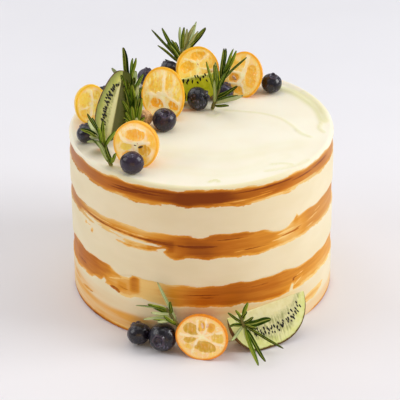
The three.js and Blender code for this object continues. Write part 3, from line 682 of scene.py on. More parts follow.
def clouds(points, size, seed, detail=2):
    """Smooth seeded noise from about -1 to 1 at each point, its clouds size millimetres across."""
    offset = Vector((seed * 7.13, seed * 3.71, seed * 5.37))
    return np.array([noise.fractal(Vector(p) / size + offset, 1.0, 2.0, detail) for p in points])


def circle(count):
    """Equal steps round a circle."""
    return np.arange(count) * 2 * math.pi / count


def grid(rows, columns):
    """Each row value beside each column value, row by row."""
    return (values.ravel() for values in np.meshgrid(rows, columns, indexing="ij"))


def outward(points, faces):
    """The faces, all turned over if the skin is inside out."""
    corners = np.array([f[:3] for f in faces] + [(f[0], f[2], f[3]) for f in faces if len(f) == 4])
    a, b, c = (points[corners[:, i]] for i in range(3))
    inside_out = np.einsum("ij,ij->i", a, np.cross(b, c)).sum() < 0
    return [f[::-1] for f in faces] if inside_out else faces


def loft(rings, start, end):
    """A closed skin over rings of points of one length, between two end points."""
    rows, columns = rings.shape[:2]
    points = np.vstack([[start], rings.reshape(-1, 3), [end]])
    last = len(points) - 1
    pairs = [(c, (c + 1) % columns) for c in range(columns)]
    faces = []
    for c, d in pairs:
        faces += [(0, 1 + d, 1 + c), (last, last - columns + c, last - columns + d)]
    for low in range(1, 1 + (rows - 1) * columns, columns):
        faces += [(low + c, low + d, low + columns + d, low + columns + c) for c, d in pairs]
    return points, outward(points, faces)


def capped(values, first=None, last=None):
    """Values on the rings of a loft, with those of its two end points."""
    ends = (values[0] if first is None else first, values[-1] if last is None else last)
    return np.concatenate([ends[:1], values, ends[1:]])


def merged(parts):
    """Several (points, faces) shapes as one."""
    points = np.vstack([p for p, _ in parts])
    starts = np.cumsum([0] + [len(p) for p, _ in parts[:-1]])
    faces = [tuple(i + start for i in face) for (_, fs), start in zip(parts, starts) for face in fs]
    return points, faces


def settled(points):
    """Points pressed flat where they would go deep into the icing or through the floor."""
    points = np.array(points, float)
    over_cake = np.hypot(points[..., 0], points[..., 1]) < CAKE_RADIUS - 1
    lowest = np.where(over_cake & (points[..., 2] > CAKE_HEIGHT / 2), CAKE_HEIGHT - SUNK_BELOW_ICING, 0)
    points[..., 2] = np.maximum(points[..., 2], lowest)
    return points


def set_down(points, columns, ends, turn, at):
    """A closed skin over rings of points, turned, moved to its place and settled there."""
    rings, start, end = (settled(np.array(p) @ turn.T + at) for p in (points, *ends))
    return loft(rings.reshape(-1, columns, 3), start, end)


def piece(name, shape, finishes, replaces=(), marks=None, kinds=None):
    """Makes one piece of the cake from a shape in millimetres, riding on the cake."""
    points, faces = shape
    mesh = bpy.data.meshes.new(name)
    mesh.from_pydata((points * MM).tolist(), [], faces)
    for finish in finishes:
        mesh.materials.append(finish.material)
    if kinds is not None:
        mesh.polygons.foreach_set("material_index", np.asarray(kinds, np.int32))
    mesh.polygons.foreach_set("use_smooth", np.ones(len(faces), bool))
    for key, values in (marks or {}).items():
        mark = mesh.attributes.new(key, "FLOAT", "POINT")
        mark.data.foreach_set("value", np.asarray(values, np.float32))
    mesh.update()
    made = bpy.data.objects.new(name, mesh)
    bpy.context.scene.collection.objects.link(made)
    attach(made, BODY)
    if replaces:
        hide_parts(*replaces)


def bump(along, middle, half_width, rise, softness=BUMP_SOFTNESS):
    """A soft-edged rise about its middle, along degrees round the cake or along millimetres."""
    away = (along - middle + 180) % 360 - 180
    inner = np.tanh((away + half_width) / softness)
    outer = np.tanh((away - half_width) / softness)
    return rise * (inner - outer) / 2


def ragged(azimuth, seed):
    """How uneven a stripe's edge is, in millimetres."""
    turn = np.radians(azimuth)
    waves = np.sin(7 * turn + seed) + np.sin(17 * turn + 2 * seed) + np.sin(31 * turn + 5 * seed)
    return STRIPE_RAGGEDNESS * waves


def edge(azimuth, level, bumps, seed):
    """The height of a stripe's edge, ragged and with its bumps."""
    return level + ragged(azimuth, seed) + sum(bump(azimuth, *row) for row in bumps)


def stripe_field(azimuth, height):
    """How far inside a stripe a point of the side is, in millimetres, and less than 0 outside."""
    fields = []
    for row, stripe in enumerate(STRIPES):
        lower = edge(azimuth, stripe["low"], stripe["low_bumps"], row + 1)
        upper = edge(azimuth, stripe["high"], stripe["high_bumps"], row + 5)
        fields.append(np.minimum(height - lower, upper - height))
    return np.max(fields, axis=0)


def stripe_tone(azimuth, height):
    """How dark the caramel of the nearest stripe lies, with its painted reflection and sheen in it."""
    levels = [(stripe["low"] + stripe["high"]) / 2 for stripe in STRIPES]
    nearest = np.abs(height[None, :] - np.array(levels)[:, None]).argmin(axis=0)
    tones = [np.interp(azimuth, *np.transpose(stripe["tones"]), period=360) for stripe in STRIPES]
    return np.choose(nearest, tones)


def stroke_field(azimuth, height, strokes):
    """How far inside the nearest stroke a point of the side is, in millimetres."""
    fields = []
    for middle, level, half_length, half_thickness, slope in strokes:
        along = np.radians((azimuth - middle + 180) % 360 - 180) * CAKE_RADIUS
        across = np.abs(height - level - slope * along)
        taper = 1 - (along / half_length) ** 2
        fields.append(np.where(taper > 0, half_thickness * taper, -np.abs(along) + half_length) - across)
    return np.max(fields, axis=0)


def patch_field(azimuth, height, patches, softness=4.0):
    """The sum of soft patches on the side, from 0 up."""
    total = np.zeros_like(azimuth)
    for middle, half_width, level, half_height, amount in patches:
        band = bump(height, level, half_height, 1.0, 1.0)
        total += bump(azimuth, middle, half_width, amount, softness) * band
    return total


def spot_field(level_spots, spots):
    """The strongest of some soft stains on the top, from 0 to 1."""
    strongest = np.zeros(len(level_spots))
    for x, y, long, wide, amount in spots:
        away = ((level_spots - (x, y)) / (long, wide)) ** 2
        strongest = np.maximum(strongest, amount * np.exp(-away.sum(axis=1)))
    return strongest


def line_distance(spots, path):
    """How far each spot of the top is from a path over it."""
    nearest = np.full(len(spots), np.inf)
    for a, b in zip(np.array(path[:-1], float), np.array(path[1:], float)):
        share = np.clip(((spots - a) @ (b - a)) / ((b - a) @ (b - a)), 0, 1)
        nearest = np.minimum(nearest, np.linalg.norm(spots - a - share[:, None] * (b - a), axis=1))
    return nearest


def smooth_path(path, steps=8):
    """A path through the same points with its corners rounded."""
    ends = [2 * np.array(path[0]) - path[1], *map(np.array, path), 2 * np.array(path[-1]) - path[-2]]
    spots = []
    for a, b, c, d in zip(ends, ends[1:], ends[2:], ends[3:]):
        for t in np.arange(steps) / steps:
            spots.append(b + t * (c - a) / 2 + t * t * (a - 2.5 * b + 2 * c - d / 2)
                         + t ** 3 * (-a + 3 * b - 3 * c + d) / 2)
    return [*spots, np.array(path[-1], float)]


def lip_rise(azimuth):
    """How far the icing stands up at the rim: a little all round, and more behind on the right."""
    return LIP_RISE + bump(azimuth, BACK_LIP_AZIMUTH, BACK_LIP_HALF_WIDTH, BACK_LIP_RISE)


def cake_profile():
    """Radius and height of each ring, from the middle of the top over the rim and down to the foot."""
    flat = [(r, CAKE_HEIGHT) for r in np.arange(TOP_STEP, CAKE_RADIUS - RIM_ROUNDING, TOP_STEP)]
    rim = [(CAKE_RADIUS - RIM_ROUNDING * (1 - math.sin(t)), CAKE_HEIGHT - RIM_ROUNDING * (1 - math.cos(t)))
           for t in np.radians(np.linspace(0, 90, 8))]
    levels = np.arange(CAKE_HEIGHT - RIM_ROUNDING - SIDE_STEP, FOOT_ROUNDING, -SIDE_STEP)
    foot = [(CAKE_RADIUS - FOOT_ROUNDING * (1 - math.cos(t)), FOOT_ROUNDING * (1 - math.sin(t)))
            for t in np.radians([0, 30, 60, 90])]
    return np.array([*flat, *rim, *((CAKE_RADIUS, z) for z in levels), *foot])


def make_cake(finish):
    """The whole cake's icing. Marks on its points keep where caramel, strokes, stains, painted shade, painted
    reflection and painted highlights lie.
    """
    profile = cake_profile()
    radius, azimuth = grid(profile[:, 0], np.arange(CAKE_COLUMNS) * 360 / CAKE_COLUMNS)
    height = np.repeat(profile[:, 1], CAKE_COLUMNS)
    around = np.radians(azimuth)
    level_spots = np.column_stack([radius * np.sin(around), -radius * np.cos(around)])

    stripes = stripe_field(azimuth, height)
    caramel = np.maximum(stripes, stroke_field(azimuth, height, SMEARS))
    caramel = np.minimum(caramel, -stroke_field(azimuth, height, WINDOWS))
    on_side = radius > CAKE_RADIUS - RIM_ROUNDING
    caramel = np.where(on_side, caramel, FAR_OUTSIDE)

    # The lip stands up at the rim and dies away inwards, and the flat of the top is gently uneven.
    solid_spots = np.column_stack([level_spots, height])
    near_rim = step(radius, CAKE_RADIUS - RIM_WIDTH, CAKE_RADIUS - RIM_ROUNDING)
    top_share = step(height, CAKE_HEIGHT - 2 * RIM_ROUNDING, CAKE_HEIGHT)
    lift = lip_rise(azimuth) * near_rim * top_share
    on_top = top_share > 0.99
    top_spots = level_spots[on_top]
    ridges = np.zeros(len(top_spots))
    # Beside each ridge a band of painted shade is kept for the colour.
    crease_shade = np.zeros(len(top_spots))
    for width, rise, path in TOP_RIDGES:
        away = line_distance(top_spots, smooth_path(path)) / width
        ridges += rise * np.exp(-away ** 2)
        crease_shade = np.maximum(crease_shade, abs(rise) * np.exp(-((away - 0.5) * 1.4) ** 2))
    uneven = clouds(solid_spots[on_top] * (1, 0.5, 1), 26, 1) * TOP_UNEVENNESS
    uneven += clouds(solid_spots[on_top] * (0.25, 1, 1), 9, 2) * TOP_STROKES_RISE
    inside = 1 - step(radius[on_top], CAKE_RADIUS - 4, CAKE_RADIUS - 1)
    lift[on_top] += (ridges + uneven) * inside

    # The side: the stripes lie a little deeper, and the scraper leaves long faint ridges.
    side_share = step(CAKE_HEIGHT - height, 0, 2 * RIM_ROUNDING) * step(height, 0, 2)
    scraped = clouds(solid_spots * (0.12, 0.12, 1), 3.2, 3) * SCRAPER_RISE
    scraped += clouds(solid_spots, 34, 4) * SIDE_WOBBLE
    sink = STRIPE_DEPTH * step(stripes, -0.1, 0.9)
    lines = np.maximum(stroke_field(azimuth, height, DRAG_LINES), -0.6)
    scores = SCORE_DEPTH * step(lines, -0.4, 0.5)
    radius = radius + (scraped * side_share - sink - scores) * on_side

    rings = np.column_stack([radius * np.sin(around), -radius * np.cos(around), height + lift])
    rings = rings.reshape(len(profile), CAKE_COLUMNS, 3)
    shape = loft(rings, (0, 0, CAKE_HEIGHT), (0, 0, 0))

    tone = stripe_tone(azimuth, height) + patch_field(azimuth, height, DARK_PATCHES, CRISP_SOFTNESS)
    tone -= patch_field(azimuth, height, LIGHT_PATCHES)
    wash_and_bounce = patch_field(azimuth, height, AMBER_WASH_AND_BOUNCE, WASH_SOFTNESS)
    painted_reflection = patch_field(azimuth, height, PAINTED_REFLECTION_PATCHES, WASH_SOFTNESS)
    painted_highlight_lines = np.maximum(stroke_field(azimuth, height, PAINTED_HIGHLIGHT_LINES), -2)
    crease_shade_marks = np.zeros(len(radius))
    crease_shade_marks[on_top] = crease_shade
    juice, painted_shadow = (spot_field(level_spots, spots) * on_top for spots in (JUICE_SPOTS, PAINTED_SHADOW_SPOTS))
    # A band along the front of the rim, painted greener as shade.
    from_rim = CAKE_RADIUS - np.hypot(*level_spots.T) + (CAKE_HEIGHT - height)
    band = bump(from_rim, PAINTED_RIM_SHADE["from_rim"], PAINTED_RIM_SHADE["half_band"], 1.0, 0.7)
    green = band * bump(azimuth, PAINTED_RIM_SHADE["azimuth"], PAINTED_RIM_SHADE["half_width"], 1.0, 8.0)
    marks = {
        "caramel": caramel, "tone": tone, "wash_and_bounce": wash_and_bounce, "painted_reflection": painted_reflection, "lines": lines,
        "painted_highlight_lines": painted_highlight_lines, "crease_shade": crease_shade_marks, "juice": juice, "painted_shadow": painted_shadow, "green": green,
        "side": 1 - top_share,
    }
    marks = {key: capped(values) for key, values in marks.items()}
    piece("icing_and_stripes", shape, [finish], ["iced_cake"], marks)


def icing_finish():
    """Cream icing, with caramel dragged through it by a scraper."""
    cream = Finish("cream_icing", {
        "Subsurface Weight": 0.1, "Subsurface Radius": (1.0, 0.6, 0.3), "Subsurface Scale": 0.003,
        "Specular IOR Level": 0.1,
    })
    streaks = cream.grain(5.0, (0.16, 0.16, 1.6), 3)
    threads = cream.grain(2.2, (0.14, 0.14, 2.0))
    fine = cream.grain(1.3, (0.4, 0.4, 1.3), 3)
    cloudy = cream.grain(17.0, (0.6, 0.6, 1.2))
    frayed = cream.mark("caramel") + streaks.sway(1.9) + fine.sway(2.0)
    covered = frayed.rise(-0.16, 0.2)

    tone = cream.mark("tone") + streaks.sway(0.36) + threads.sway(0.16) + cloudy.sway(0.3)
    tone = tone - (1 - frayed.rise(0.1, 2.2)) * 0.3
    tone = tone + (cream.mark("lines") + fine.sway(0.6)).rise(-0.2, 0.3) * 0.5
    # Painted highlight lines lighten the caramel.
    tone = tone - (cream.mark("painted_highlight_lines") + fine.sway(0.7)).rise(-0.3, 0.4) * 0.4
    caramel = cream.coats(
        paint(244, 206, 130),
        (tone.rise(0.0, 0.34), paint(228, 158, 54)),
        (tone.rise(0.26, 0.66), paint(192, 110, 24)),
        (tone.rise(0.58, 1.0), paint(134, 62, 8)),
        # Painted reflection greys the caramel where the side turns away.
        (cream.mark("painted_reflection").clamped(), paint(172, 124, 92)),
    )
    plain = cream.coats(
        cream.dapple(cloudy, paint(249, 243, 224), paint(246, 238, 216)),
        # The side is painted darker and warmer than the top, as painted shade and warm bounce light.
        (cream.mark("side"), cream.dapple(cloudy, paint(240, 228, 196), paint(236, 223, 188))),
        # Painted shade along the flanks of the ridges on the top.
        ((cream.mark("crease_shade") * (0.4 + streaks)).clamped(), paint(226, 222, 164)),
        # Painted shade along the front rim.
        (cream.mark("green") * (0.4 + streaks * 0.3), paint(226, 218, 160)),
        # Painted shadow on the top beside the fruit.
        (cream.mark("painted_shadow"), paint(150, 140, 110)),
        # Amber wash, near the foot a painted warm bounce light.
        ((cream.mark("wash_and_bounce") * (0.4 + streaks * 1.2)).clamped(), paint(236, 174, 82)),
        ((cream.mark("juice") * (0.35 + fine)).clamped(), paint(222, 130, 50)),
    )
    cream.relief(streaks * 0.5 + threads * 0.3 + cream.grain(0.7, detail=1) * 0.2, 0.22, 0.7)
    return cream.wear(
        Base_Color=cream.blend(covered, plain, caramel), Roughness=0.55 - covered * 0.15 + streaks.sway(0.12)
    )


def ball(rings, crowding, flatness):
    """The turn from the crown, the turn round it and the direction of each point of a ball whose rings
    crowd towards the crown."""
    polar = np.linspace(0, math.pi, rings + 2)[1:-1]
    theta, phi = grid(polar * (crowding + (1 - crowding) * polar / math.pi), circle(BALL_COLUMNS))
    level = np.sin(theta)
    return theta, phi, np.column_stack([level * np.cos(phi), np.cos(theta) * flatness, level * np.sin(phi)])


def make_berry(row, place, finish):
    """A slightly flat ball with a bloom on its skin and a five-lobed crown round a pit."""
    draw = random.Random(row + 31)
    radius = place["radius"]
    theta, phi, out = ball(BERRY_RINGS, BERRY_CROWDING, BERRY_FLATNESS)
    flap = np.abs(np.cos(2.5 * (phi + draw.uniform(0, 2)))) ** 0.7
    crown = np.exp(-((theta - CROWN_TURN - 0.07 * flap) / CROWN_THICKNESS) ** 2)
    outside = radius * (CROWN_RISE + LOBE_RISE * flap) * crown
    pit = radius * BERRY_PIT * (1 - step(theta, 0.12, 0.36))
    lean = 1 + 0.02 * np.sin(phi + draw.uniform(0, 6)) * np.sin(theta) + 0.012 * np.sin(3 * phi + theta * 4)
    points = out * (radius * lean)[:, None]
    points[:, 1] += outside - pit
    points[:, [0, 2]] *= (1 + 0.07 * crown * flap)[:, None]
    ends = [(0, radius * (BERRY_FLATNESS - BERRY_PIT), 0), (0, -radius * BERRY_FLATNESS, 0)]
    shape = set_down(points, BALL_COLUMNS, ends, facing(place["crown"]), place["at"])
    violet = place.get("violet", draw.random())
    marks = {
        "from_crown": capped(theta, 0.0, math.pi),
        "lobes": capped(crown * (0.4 + 0.6 * flap), 0.0, 0.0),
        "tone": np.full(len(theta) + 2, violet),
    }
    piece(f"dark_berry_{row + 1}", shape, [finish], [f"berry_{row + 1}"], marks)


def berry_finish():
    """Blue-black skin under a pale bloom that has rubbed off in places."""
    skin = Finish("berry_skin", {"Specular IOR Level": 0.3, "Coat Weight": 0.5, "Coat Roughness": 0.08})
    patchy, rubbed, fine = skin.grain(2.6, detail=3), skin.grain(7.0), skin.grain(0.5)
    tone, from_crown = skin.mark("tone"), skin.mark("from_crown")
    bloom = (patchy * 0.8 + rubbed * 0.6 + tone * 0.1).rise(0.62, 0.98)
    dusted = (bloom * 0.26 + (1 - from_crown.rise(0.3, 0.9)) * 0.05).clamped()
    scuffs = skin.grain(1.4, (1, 1, 0.4)).rise(0.58, 0.68) * rubbed.rise(0.4, 0.6)
    colour = skin.coats(
        skin.blend(tone.clamped(), paint(8, 7, 14), paint(26, 9, 30)),
        (dusted, skin.blend(tone.clamped(), paint(44, 48, 78), paint(62, 42, 82))),
        (scuffs * 0.5, paint(128, 124, 156)),
        (skin.mark("lobes") * 0.5, paint(104, 84, 106)),
        ((1 - from_crown.rise(0.14, 0.3)) * 0.6, paint(62, 46, 62)),
    )
    skin.relief(patchy * 0.6 + fine * 0.4, 0.35, 0.8)
    return skin.wear(Base_Color=colour, Roughness=0.24 + bloom * 0.32 + fine.sway(0.12))


def cell_field(right, up, half, cell):
    """How far inside a rounded cell of the cut face a spot is, in millimetres."""
    middle_right, middle_up, half_width, half_height, tilt = cell[:5]
    across, rise = right / half[0] - middle_right, up / half[1] - middle_up
    c, s = math.cos(math.radians(tilt)), math.sin(math.radians(tilt))
    across, rise = across * c + rise * s, rise * c - across * s
    away = (np.abs(across / half_width) ** 2.5 + np.abs(rise / half_height) ** 2.5) ** 0.4
    return (1 - away) * min(half_width, half_height) * (half[0] + half[1]) / 2


def pip_shape(right, up, half, turn):
    """A plump pip, round at one end and pointed at the other, lying on the cut face."""
    around = circle(PIP_COLUMNS)
    rings = []
    for t in np.radians(np.linspace(12, 168, 9)):
        girth = PIP_GIRTH * math.sin(t) ** (0.8 if t < 1.6 else 1.3)
        level = np.full(PIP_COLUMNS, PIP_HALF_LENGTH * math.cos(t))
        rings.append(np.column_stack([girth * np.cos(around), 0.8 * girth * np.sin(around), level]))
    points, faces = loft(np.array(rings), (0, 0, PIP_HALF_LENGTH), (0, 0, -PIP_HALF_LENGTH))
    return points @ rolled(math.radians(turn)).T + (-right * half[0], -PIP_SINK, up * half[1]), faces


def make_kumquat(row, half_fruit, finish, pip_finish):
    """Half a fruit: cells sunk between their walls, a ring of pith, and the peel closing it behind."""
    half, depth, cells = half_fruit["half"], half_fruit["depth"], np.array(half_fruit["cells"])
    # Each ring is [share of the face's size, share of the depth behind it].
    rows = [(share, 0.0) for share in np.linspace(0.02, 0.985, KUMQUAT_FACE_RINGS)]
    rows += [(0.997, 0.006), (1.004, 0.03), (1.004, 0.07)]
    dome = np.radians(np.linspace(0, 90, KUMQUAT_DOME_RINGS))[1:-1]
    rows += [(math.cos(t), 0.09 + 0.91 * math.sin(t) ** 1.05) for t in dome]
    share, phi = grid([r[0] for r in rows], circle(KUMQUAT_COLUMNS))
    behind = np.repeat([r[1] for r in rows], KUMQUAT_COLUMNS)
    uneven = 1 + 0.012 * np.sin(2 * phi + row) + 0.008 * np.sin(5 * phi + 2 * row)
    right = share * np.sin(phi) * half[0] * uneven
    up = share * np.cos(phi) * half[1] * uneven
    size = (half[0] + half[1]) / 2

    on_face = behind == 0
    flat = np.column_stack([right, up, np.zeros_like(up)])
    fields = np.array([cell_field(right, up, half, cell) for cell in cells])
    inside = fields.max(axis=0) + clouds(flat, 3.6, row + 9) * 0.45
    orange, hollow_shade, sunk = cells[fields.argmax(axis=0), 5:].T
    dip = CELL_DEPTH * sunk * step(inside, -0.1, 2.4)
    dip += CELL_EDGE_DEPTH * step(inside, -0.4, 0.2)
    juicy = clouds(flat, 1.9, row + 3) * SAC_RISE * step(inside, 0.0, 0.8)
    juicy += clouds(flat, 5, row) * FACE_WOBBLE
    walls = np.max([
        1.2 * membrane[-1] - line_distance(flat[:, :2], smooth_path(np.array(membrane[:-1]) * half))
        for membrane in half_fruit["membranes"]
    ], axis=0) + clouds(flat, 3.0, row + 15) * 0.7
    inside = np.minimum(inside, 0.5 - walls)
    dip = dip * (1 - step(walls, -0.4, 0.4)) - WALL_RISE * step(walls, -0.6, 0.6)
    edge_in = (1 - share) * size
    proud = PEEL_RISE * np.exp(-((edge_in - PEEL_WIDTH * 0.5) / 0.8) ** 2)
    pores = clouds(np.column_stack([right, up, -behind * depth]), 0.9, row, 1) * PORE_DEPTH
    forward = np.where(on_face, proud - dip + juicy, -behind * depth)
    shell = np.where(on_face, 0.0, pores)
    points = np.column_stack([-(right + shell * np.sin(phi)), forward, up + shell * np.cos(phi)])

    turn = facing(looking(half_fruit["azimuth"], half_fruit["lift"]), half_fruit["roll"])
    at = half_fruit["at"]
    shape = set_down(points, KUMQUAT_COLUMNS, [(0, 0, 0), (0, -depth, 0)], turn, at)
    marks = {
        "cell": capped(np.where(on_face, inside, -3.0)),
        "membrane": capped(np.where(on_face, walls, -3.0)),
        "peel": capped(np.where(on_face, 1.2 - edge_in / PEEL_WIDTH, 2.0), FAR_OUTSIDE, 2.0),
        "edge_in": capped(edge_in, size, 0.0),
        "core": capped(share, 0.0, 1.0),
        "orange": capped(orange),
        "hollow_shade": capped(hollow_shade),
        "sunk": capped(sunk),
    }
    piece(f"kumquat_{row + 1}_cut", shape, [finish], [f"kumquat_half_{row + 1}"], marks)
    pips = [pip_shape(*pip[:2], half, pip[2]) for pip in half_fruit["pips"]]
    if pips:
        browned = [np.full(len(p), pip[3]) for (p, _), pip in zip(pips, half_fruit["pips"])]
        points, faces = merged(pips)
        shape, marks = (points @ turn.T + at, faces), {"browned": np.concatenate(browned)}
        piece(f"kumquat_{row + 1}_pips", shape, [pip_finish], marks=marks)


def kumquat_finish(row, half_fruit):
    """Wet cut citrus: pale walls round translucent cells, inside a glossy orange peel. The light that
    seeps through the fruit is a faint glow of the same colour."""
    cut = Finish(f"kumquat_cut_{row + 1}", {
        "Subsurface Weight": 0.2, "Subsurface Radius": (1.0, 0.5, 0.15), "Subsurface Scale": 0.002,
        "Specular IOR Level": 0.3, "Coat Roughness": 0.1, "Emission Strength": half_fruit["glow"],
    })
    fine, cloudy, streaky = cut.grain(0.8), cut.grain(3.0), cut.grain(2.4, (1.6, 1.6, 0.3))
    sunk, in_cell, in_peel = (cut.mark(name) for name in ("sunk", "cell", "peel"))
    pulp = cut.coats(
        paint(252, 220, 100),
        ((cut.mark("orange") + cloudy.sway(0.5)).clamped(), paint(253, 176, 36)),
        # Painted shade in the hollowed cells.
        ((cut.mark("hollow_shade") * (0.5 + cloudy * 0.8)).clamped(), paint(190, 152, 30)),
        # Deeper cells are painted a darker orange, as shade in their hollows.
        ((in_cell * 0.3).clamped() * sunk.rise(0.5, 2.0) * 0.4, paint(232, 146, 20)),
        (streaky.rise(0.48, 0.7) * (0.15 + half_fruit["streaks"] * 0.6), paint(253, 236, 166)),
        # Painted glints of wet light on the pulp.
        ((fine * 0.7 + streaky * 0.6).rise(0.74, 0.92) * 0.5, paint(255, 240, 190)),
        (cut.grain(1.6, detail=1).rise(0.56, 0.7) * 0.35, paint(222, 138, 16)),
    )
    wall = cut.coats(
        cut.dapple(cloudy, paint(*half_fruit["wall"]), paint(254, 214, 116)),
        (cut.grain(5.0).rise(0.42, 0.72) * half_fruit["blush"], paint(255, 212, 178)),
        ((fine * 0.6 + streaky * 0.7).rise(0.68, 0.84) * 0.6, paint(255, 246, 214)),
    )
    # Shallow cells fade into their walls, and deep ones end sharply.
    cell = (in_cell + fine.sway(0.6) + cloudy.sway(0.5)) * (sunk.rise(0.3, 1.3) + 0.35)
    membrane = (cut.mark("membrane") + fine.sway(0.7)).rise(-0.5, 0.5)
    core = 1 - (cut.mark("core") + cloudy.sway(0.2)).rise(0.03, 0.2)
    edge_in = cut.mark("edge_in") + fine.sway(0.7) + cloudy.sway(0.9)
    pith = 1 - edge_in.rise(PITH_WIDTH * 0.6, PITH_WIDTH * 1.7)
    peel = paint(*half_fruit["peel"])
    colour = cut.coats(
        wall,
        ((cell * 1.6 + 0.25).clamped(), pulp),
        (membrane * 0.7, paint(255, 240, 206)),
        (core * 0.7, paint(250, 246, 196)),
        (pith * 0.75, paint(255, 206, 98)),
        ((in_peel + fine.sway(0.25)).rise(0.1, 0.7),
         cut.dapple(cloudy, tuple(channel * 0.86 for channel in peel), peel)),
    )
    is_peel = in_peel.rise(0.8, 1.4)
    pitted = cut.pores(1.5).rise(0.05, 0.5)
    cut.relief(pitted * is_peel * 0.6 + fine * 0.25 + cloudy * 0.3, 0.3, 0.6)
    return cut.wear(
        Base_Color=colour, Emission_Color=cut.blend(is_peel * 0.7, colour, paint(0, 0, 0)),
        Roughness=0.26 + is_peel * 0.1 + fine * 0.12, Coat_Weight=0.6 - is_peel * 0.4,
    )


def pip_finish():
    """Smooth pale pips, some of them browned."""
    pip = Finish("kumquat_pip", {"Roughness": 0.3, "Coat Weight": 0.5})
    cloudy = pip.grain(1.4)
    colour = pip.coats(
        paint(250, 222, 190),
        (cloudy.rise(0.35, 0.7), paint(238, 178, 130)),
        ((pip.mark("browned") * (0.5 + cloudy)).clamped(), paint(92, 66, 20)),
    )
    pip.relief(pip.grain(0.6, detail=1), 0.1, 0.5)
    return pip.wear(Base_Color=colour)


def make_kumquat_end(finish):
    """The stem end of a kumquat, with its star-shaped button."""
    radius = KUMQUAT_END["radius"]
    theta, phi, out = ball(END_RINGS, END_CROWDING, END_FLATNESS)
    star = np.abs(np.cos(2.5 * phi))
    button = 1 - step(theta, 0.22 + 0.2 * star, 0.34 + 0.2 * star)
    hub = 1 - step(theta, 0.08, 0.16)
    points = out * (radius * (1 + 0.03 * np.sin(3 * phi + theta * 3) * np.sin(theta)))[:, None]
    points[:, 1] += radius * (0.09 * button + 0.1 * hub - 0.1 * np.exp(-((theta - 0.5) / 0.2) ** 2))
    ends = [(0, radius * 1.05, 0), (0, -radius * END_FLATNESS, 0)]
    shape = set_down(points, BALL_COLUMNS, ends, facing(KUMQUAT_END["crown"]), KUMQUAT_END["at"])
    marks = {"button": capped(button, 1.0, 0.0)}
    piece("kumquat_end_button", shape, [finish], ["kumquat_end"], marks)


def kumquat_end_finish():
    """Pale mottled peel with a brown button."""
    nub = Finish("kumquat_stem_end", {"Coat Weight": 0.2})
    cloudy, fine = nub.grain(2.2, detail=3), nub.grain(0.5)
    colour = nub.coats(
        nub.dapple(fine, paint(218, 158, 96), paint(248, 202, 144)),
        (cloudy.rise(0.5, 0.66) * 0.75, paint(112, 92, 38)),
        (nub.mark("button") * (0.6 + fine * 0.5), paint(104, 66, 34)),
    )
    nub.relief(nub.pores(1.1) * 0.6 + fine * 0.4, 0.3, 0.7)
    return nub.wear(Base_Color=colour, Roughness=0.42 + fine * 0.2)


def kiwi_frame(wedge):
    """The core edge's middle and half length, the three directions of the wedge, and its opening."""
    start, end = (np.array(p, float) for p in wedge["core"])
    axis = unit(end - start)
    first, second = (np.array(f, float) for f in wedge["faces"])
    first = unit(first - (first @ axis) * axis)
    third = np.cross(axis, first)
    opening = math.atan2(second @ third, second @ first)
    return (start + end) / 2, np.linalg.norm(end - start) / 2, np.column_stack([first, third, axis]), opening


def kiwi_swell(wedge, along):
    """The share of its radius that a wedge has along its length, by how blunt each end is."""
    power = np.where(along < 0, *wedge["bluntness"])
    return np.sqrt(np.maximum(0, 1 - np.abs(along) ** power))


def make_kiwi(row, wedge, flesh, skin):
    """A wedge cut lengthwise: two flat faces that meet at the core, and the brown skin behind."""
    middle, half_length, turn, opening = kiwi_frame(wedge)
    radius = wedge["radius"]
    along = np.sin(np.radians(np.linspace(-88, 88, KIWI_RINGS)))
    # Round a ring, from the core over the first face, the skin and the second face.
    shares = np.linspace(0, 1, KIWI_FACE_STEPS)
    outline = [(0.0, opening / 2), *((s, 0.0) for s in shares[1:])]
    outline += [(1.0, t) for t in np.linspace(0, opening, KIWI_SKIN_STEPS + 1)[1:-1]]
    outline += [(s, opening) for s in shares[:0:-1]]
    share, angle = np.tile(np.transpose(outline), KIWI_RINGS)
    spread = np.repeat(along, len(outline))
    swell = np.repeat(kiwi_swell(wedge, along), len(outline)) * radius
    out = swell * share
    spots = np.column_stack([out * np.cos(angle), out * np.sin(angle), spread * half_length])
    on_face = (share < 1) & (share > 0)
    risen = clouds(spots, 2.4, row + 5) * KIWI_FACE_UNEVENNESS + KIWI_FACE_RISE
    normals = [(0, 1, 0), (math.sin(opening), -math.cos(opening), 0)]
    spots += np.where((angle < opening / 2)[:, None], *normals) * np.where(on_face, risen, 0)[:, None]
    ends = [(0, 0, -half_length), (0, 0, half_length)]
    points, faces = set_down(spots, len(outline), ends, turn, middle)

    row_out, row_bow = wedge["row"]
    ring_out = radius * (row_out + row_bow * (1 - spread ** 2))
    marks = {
        "zone": capped(out / np.maximum(ring_out, 0.1 * radius) + step(np.abs(spread), 0.62, 1.0) * 1.6),
        "to_skin": capped((1 - share) * swell, 0.0, 0.0),
        "along": capped(spread * half_length),
        "out": capped(out),
        "second_face": capped(step(angle, opening / 2 - 0.05, opening / 2 + 0.05)),
    }
    on_skin = capped(share >= 1, True, True)
    kinds = [int(all(on_skin[i] for i in face)) for face in faces]
    name, replaces = f"kiwi_{row + 1}_cut", [f"kiwi_wedge_{row + 1}"]
    piece(name, (points, faces), [flesh, skin], replaces, marks, kinds)


def seed_shape(length, width):
    """A flat seed along X, blunt at one end and pointed at the other."""
    around = circle(SEED_COLUMNS)
    rings = [np.column_stack([
        np.full(SEED_COLUMNS, length * math.cos(t)),
        0.62 * width * math.sin(t) ** 1.2 * np.sin(around),
        width * (1 - 0.3 * math.cos(t)) * math.sin(t) * np.cos(around),
    ]) for t in np.radians(np.linspace(20, 160, 7))]
    return loft(np.array(rings), (length, 0, 0), (-length, 0, 0))


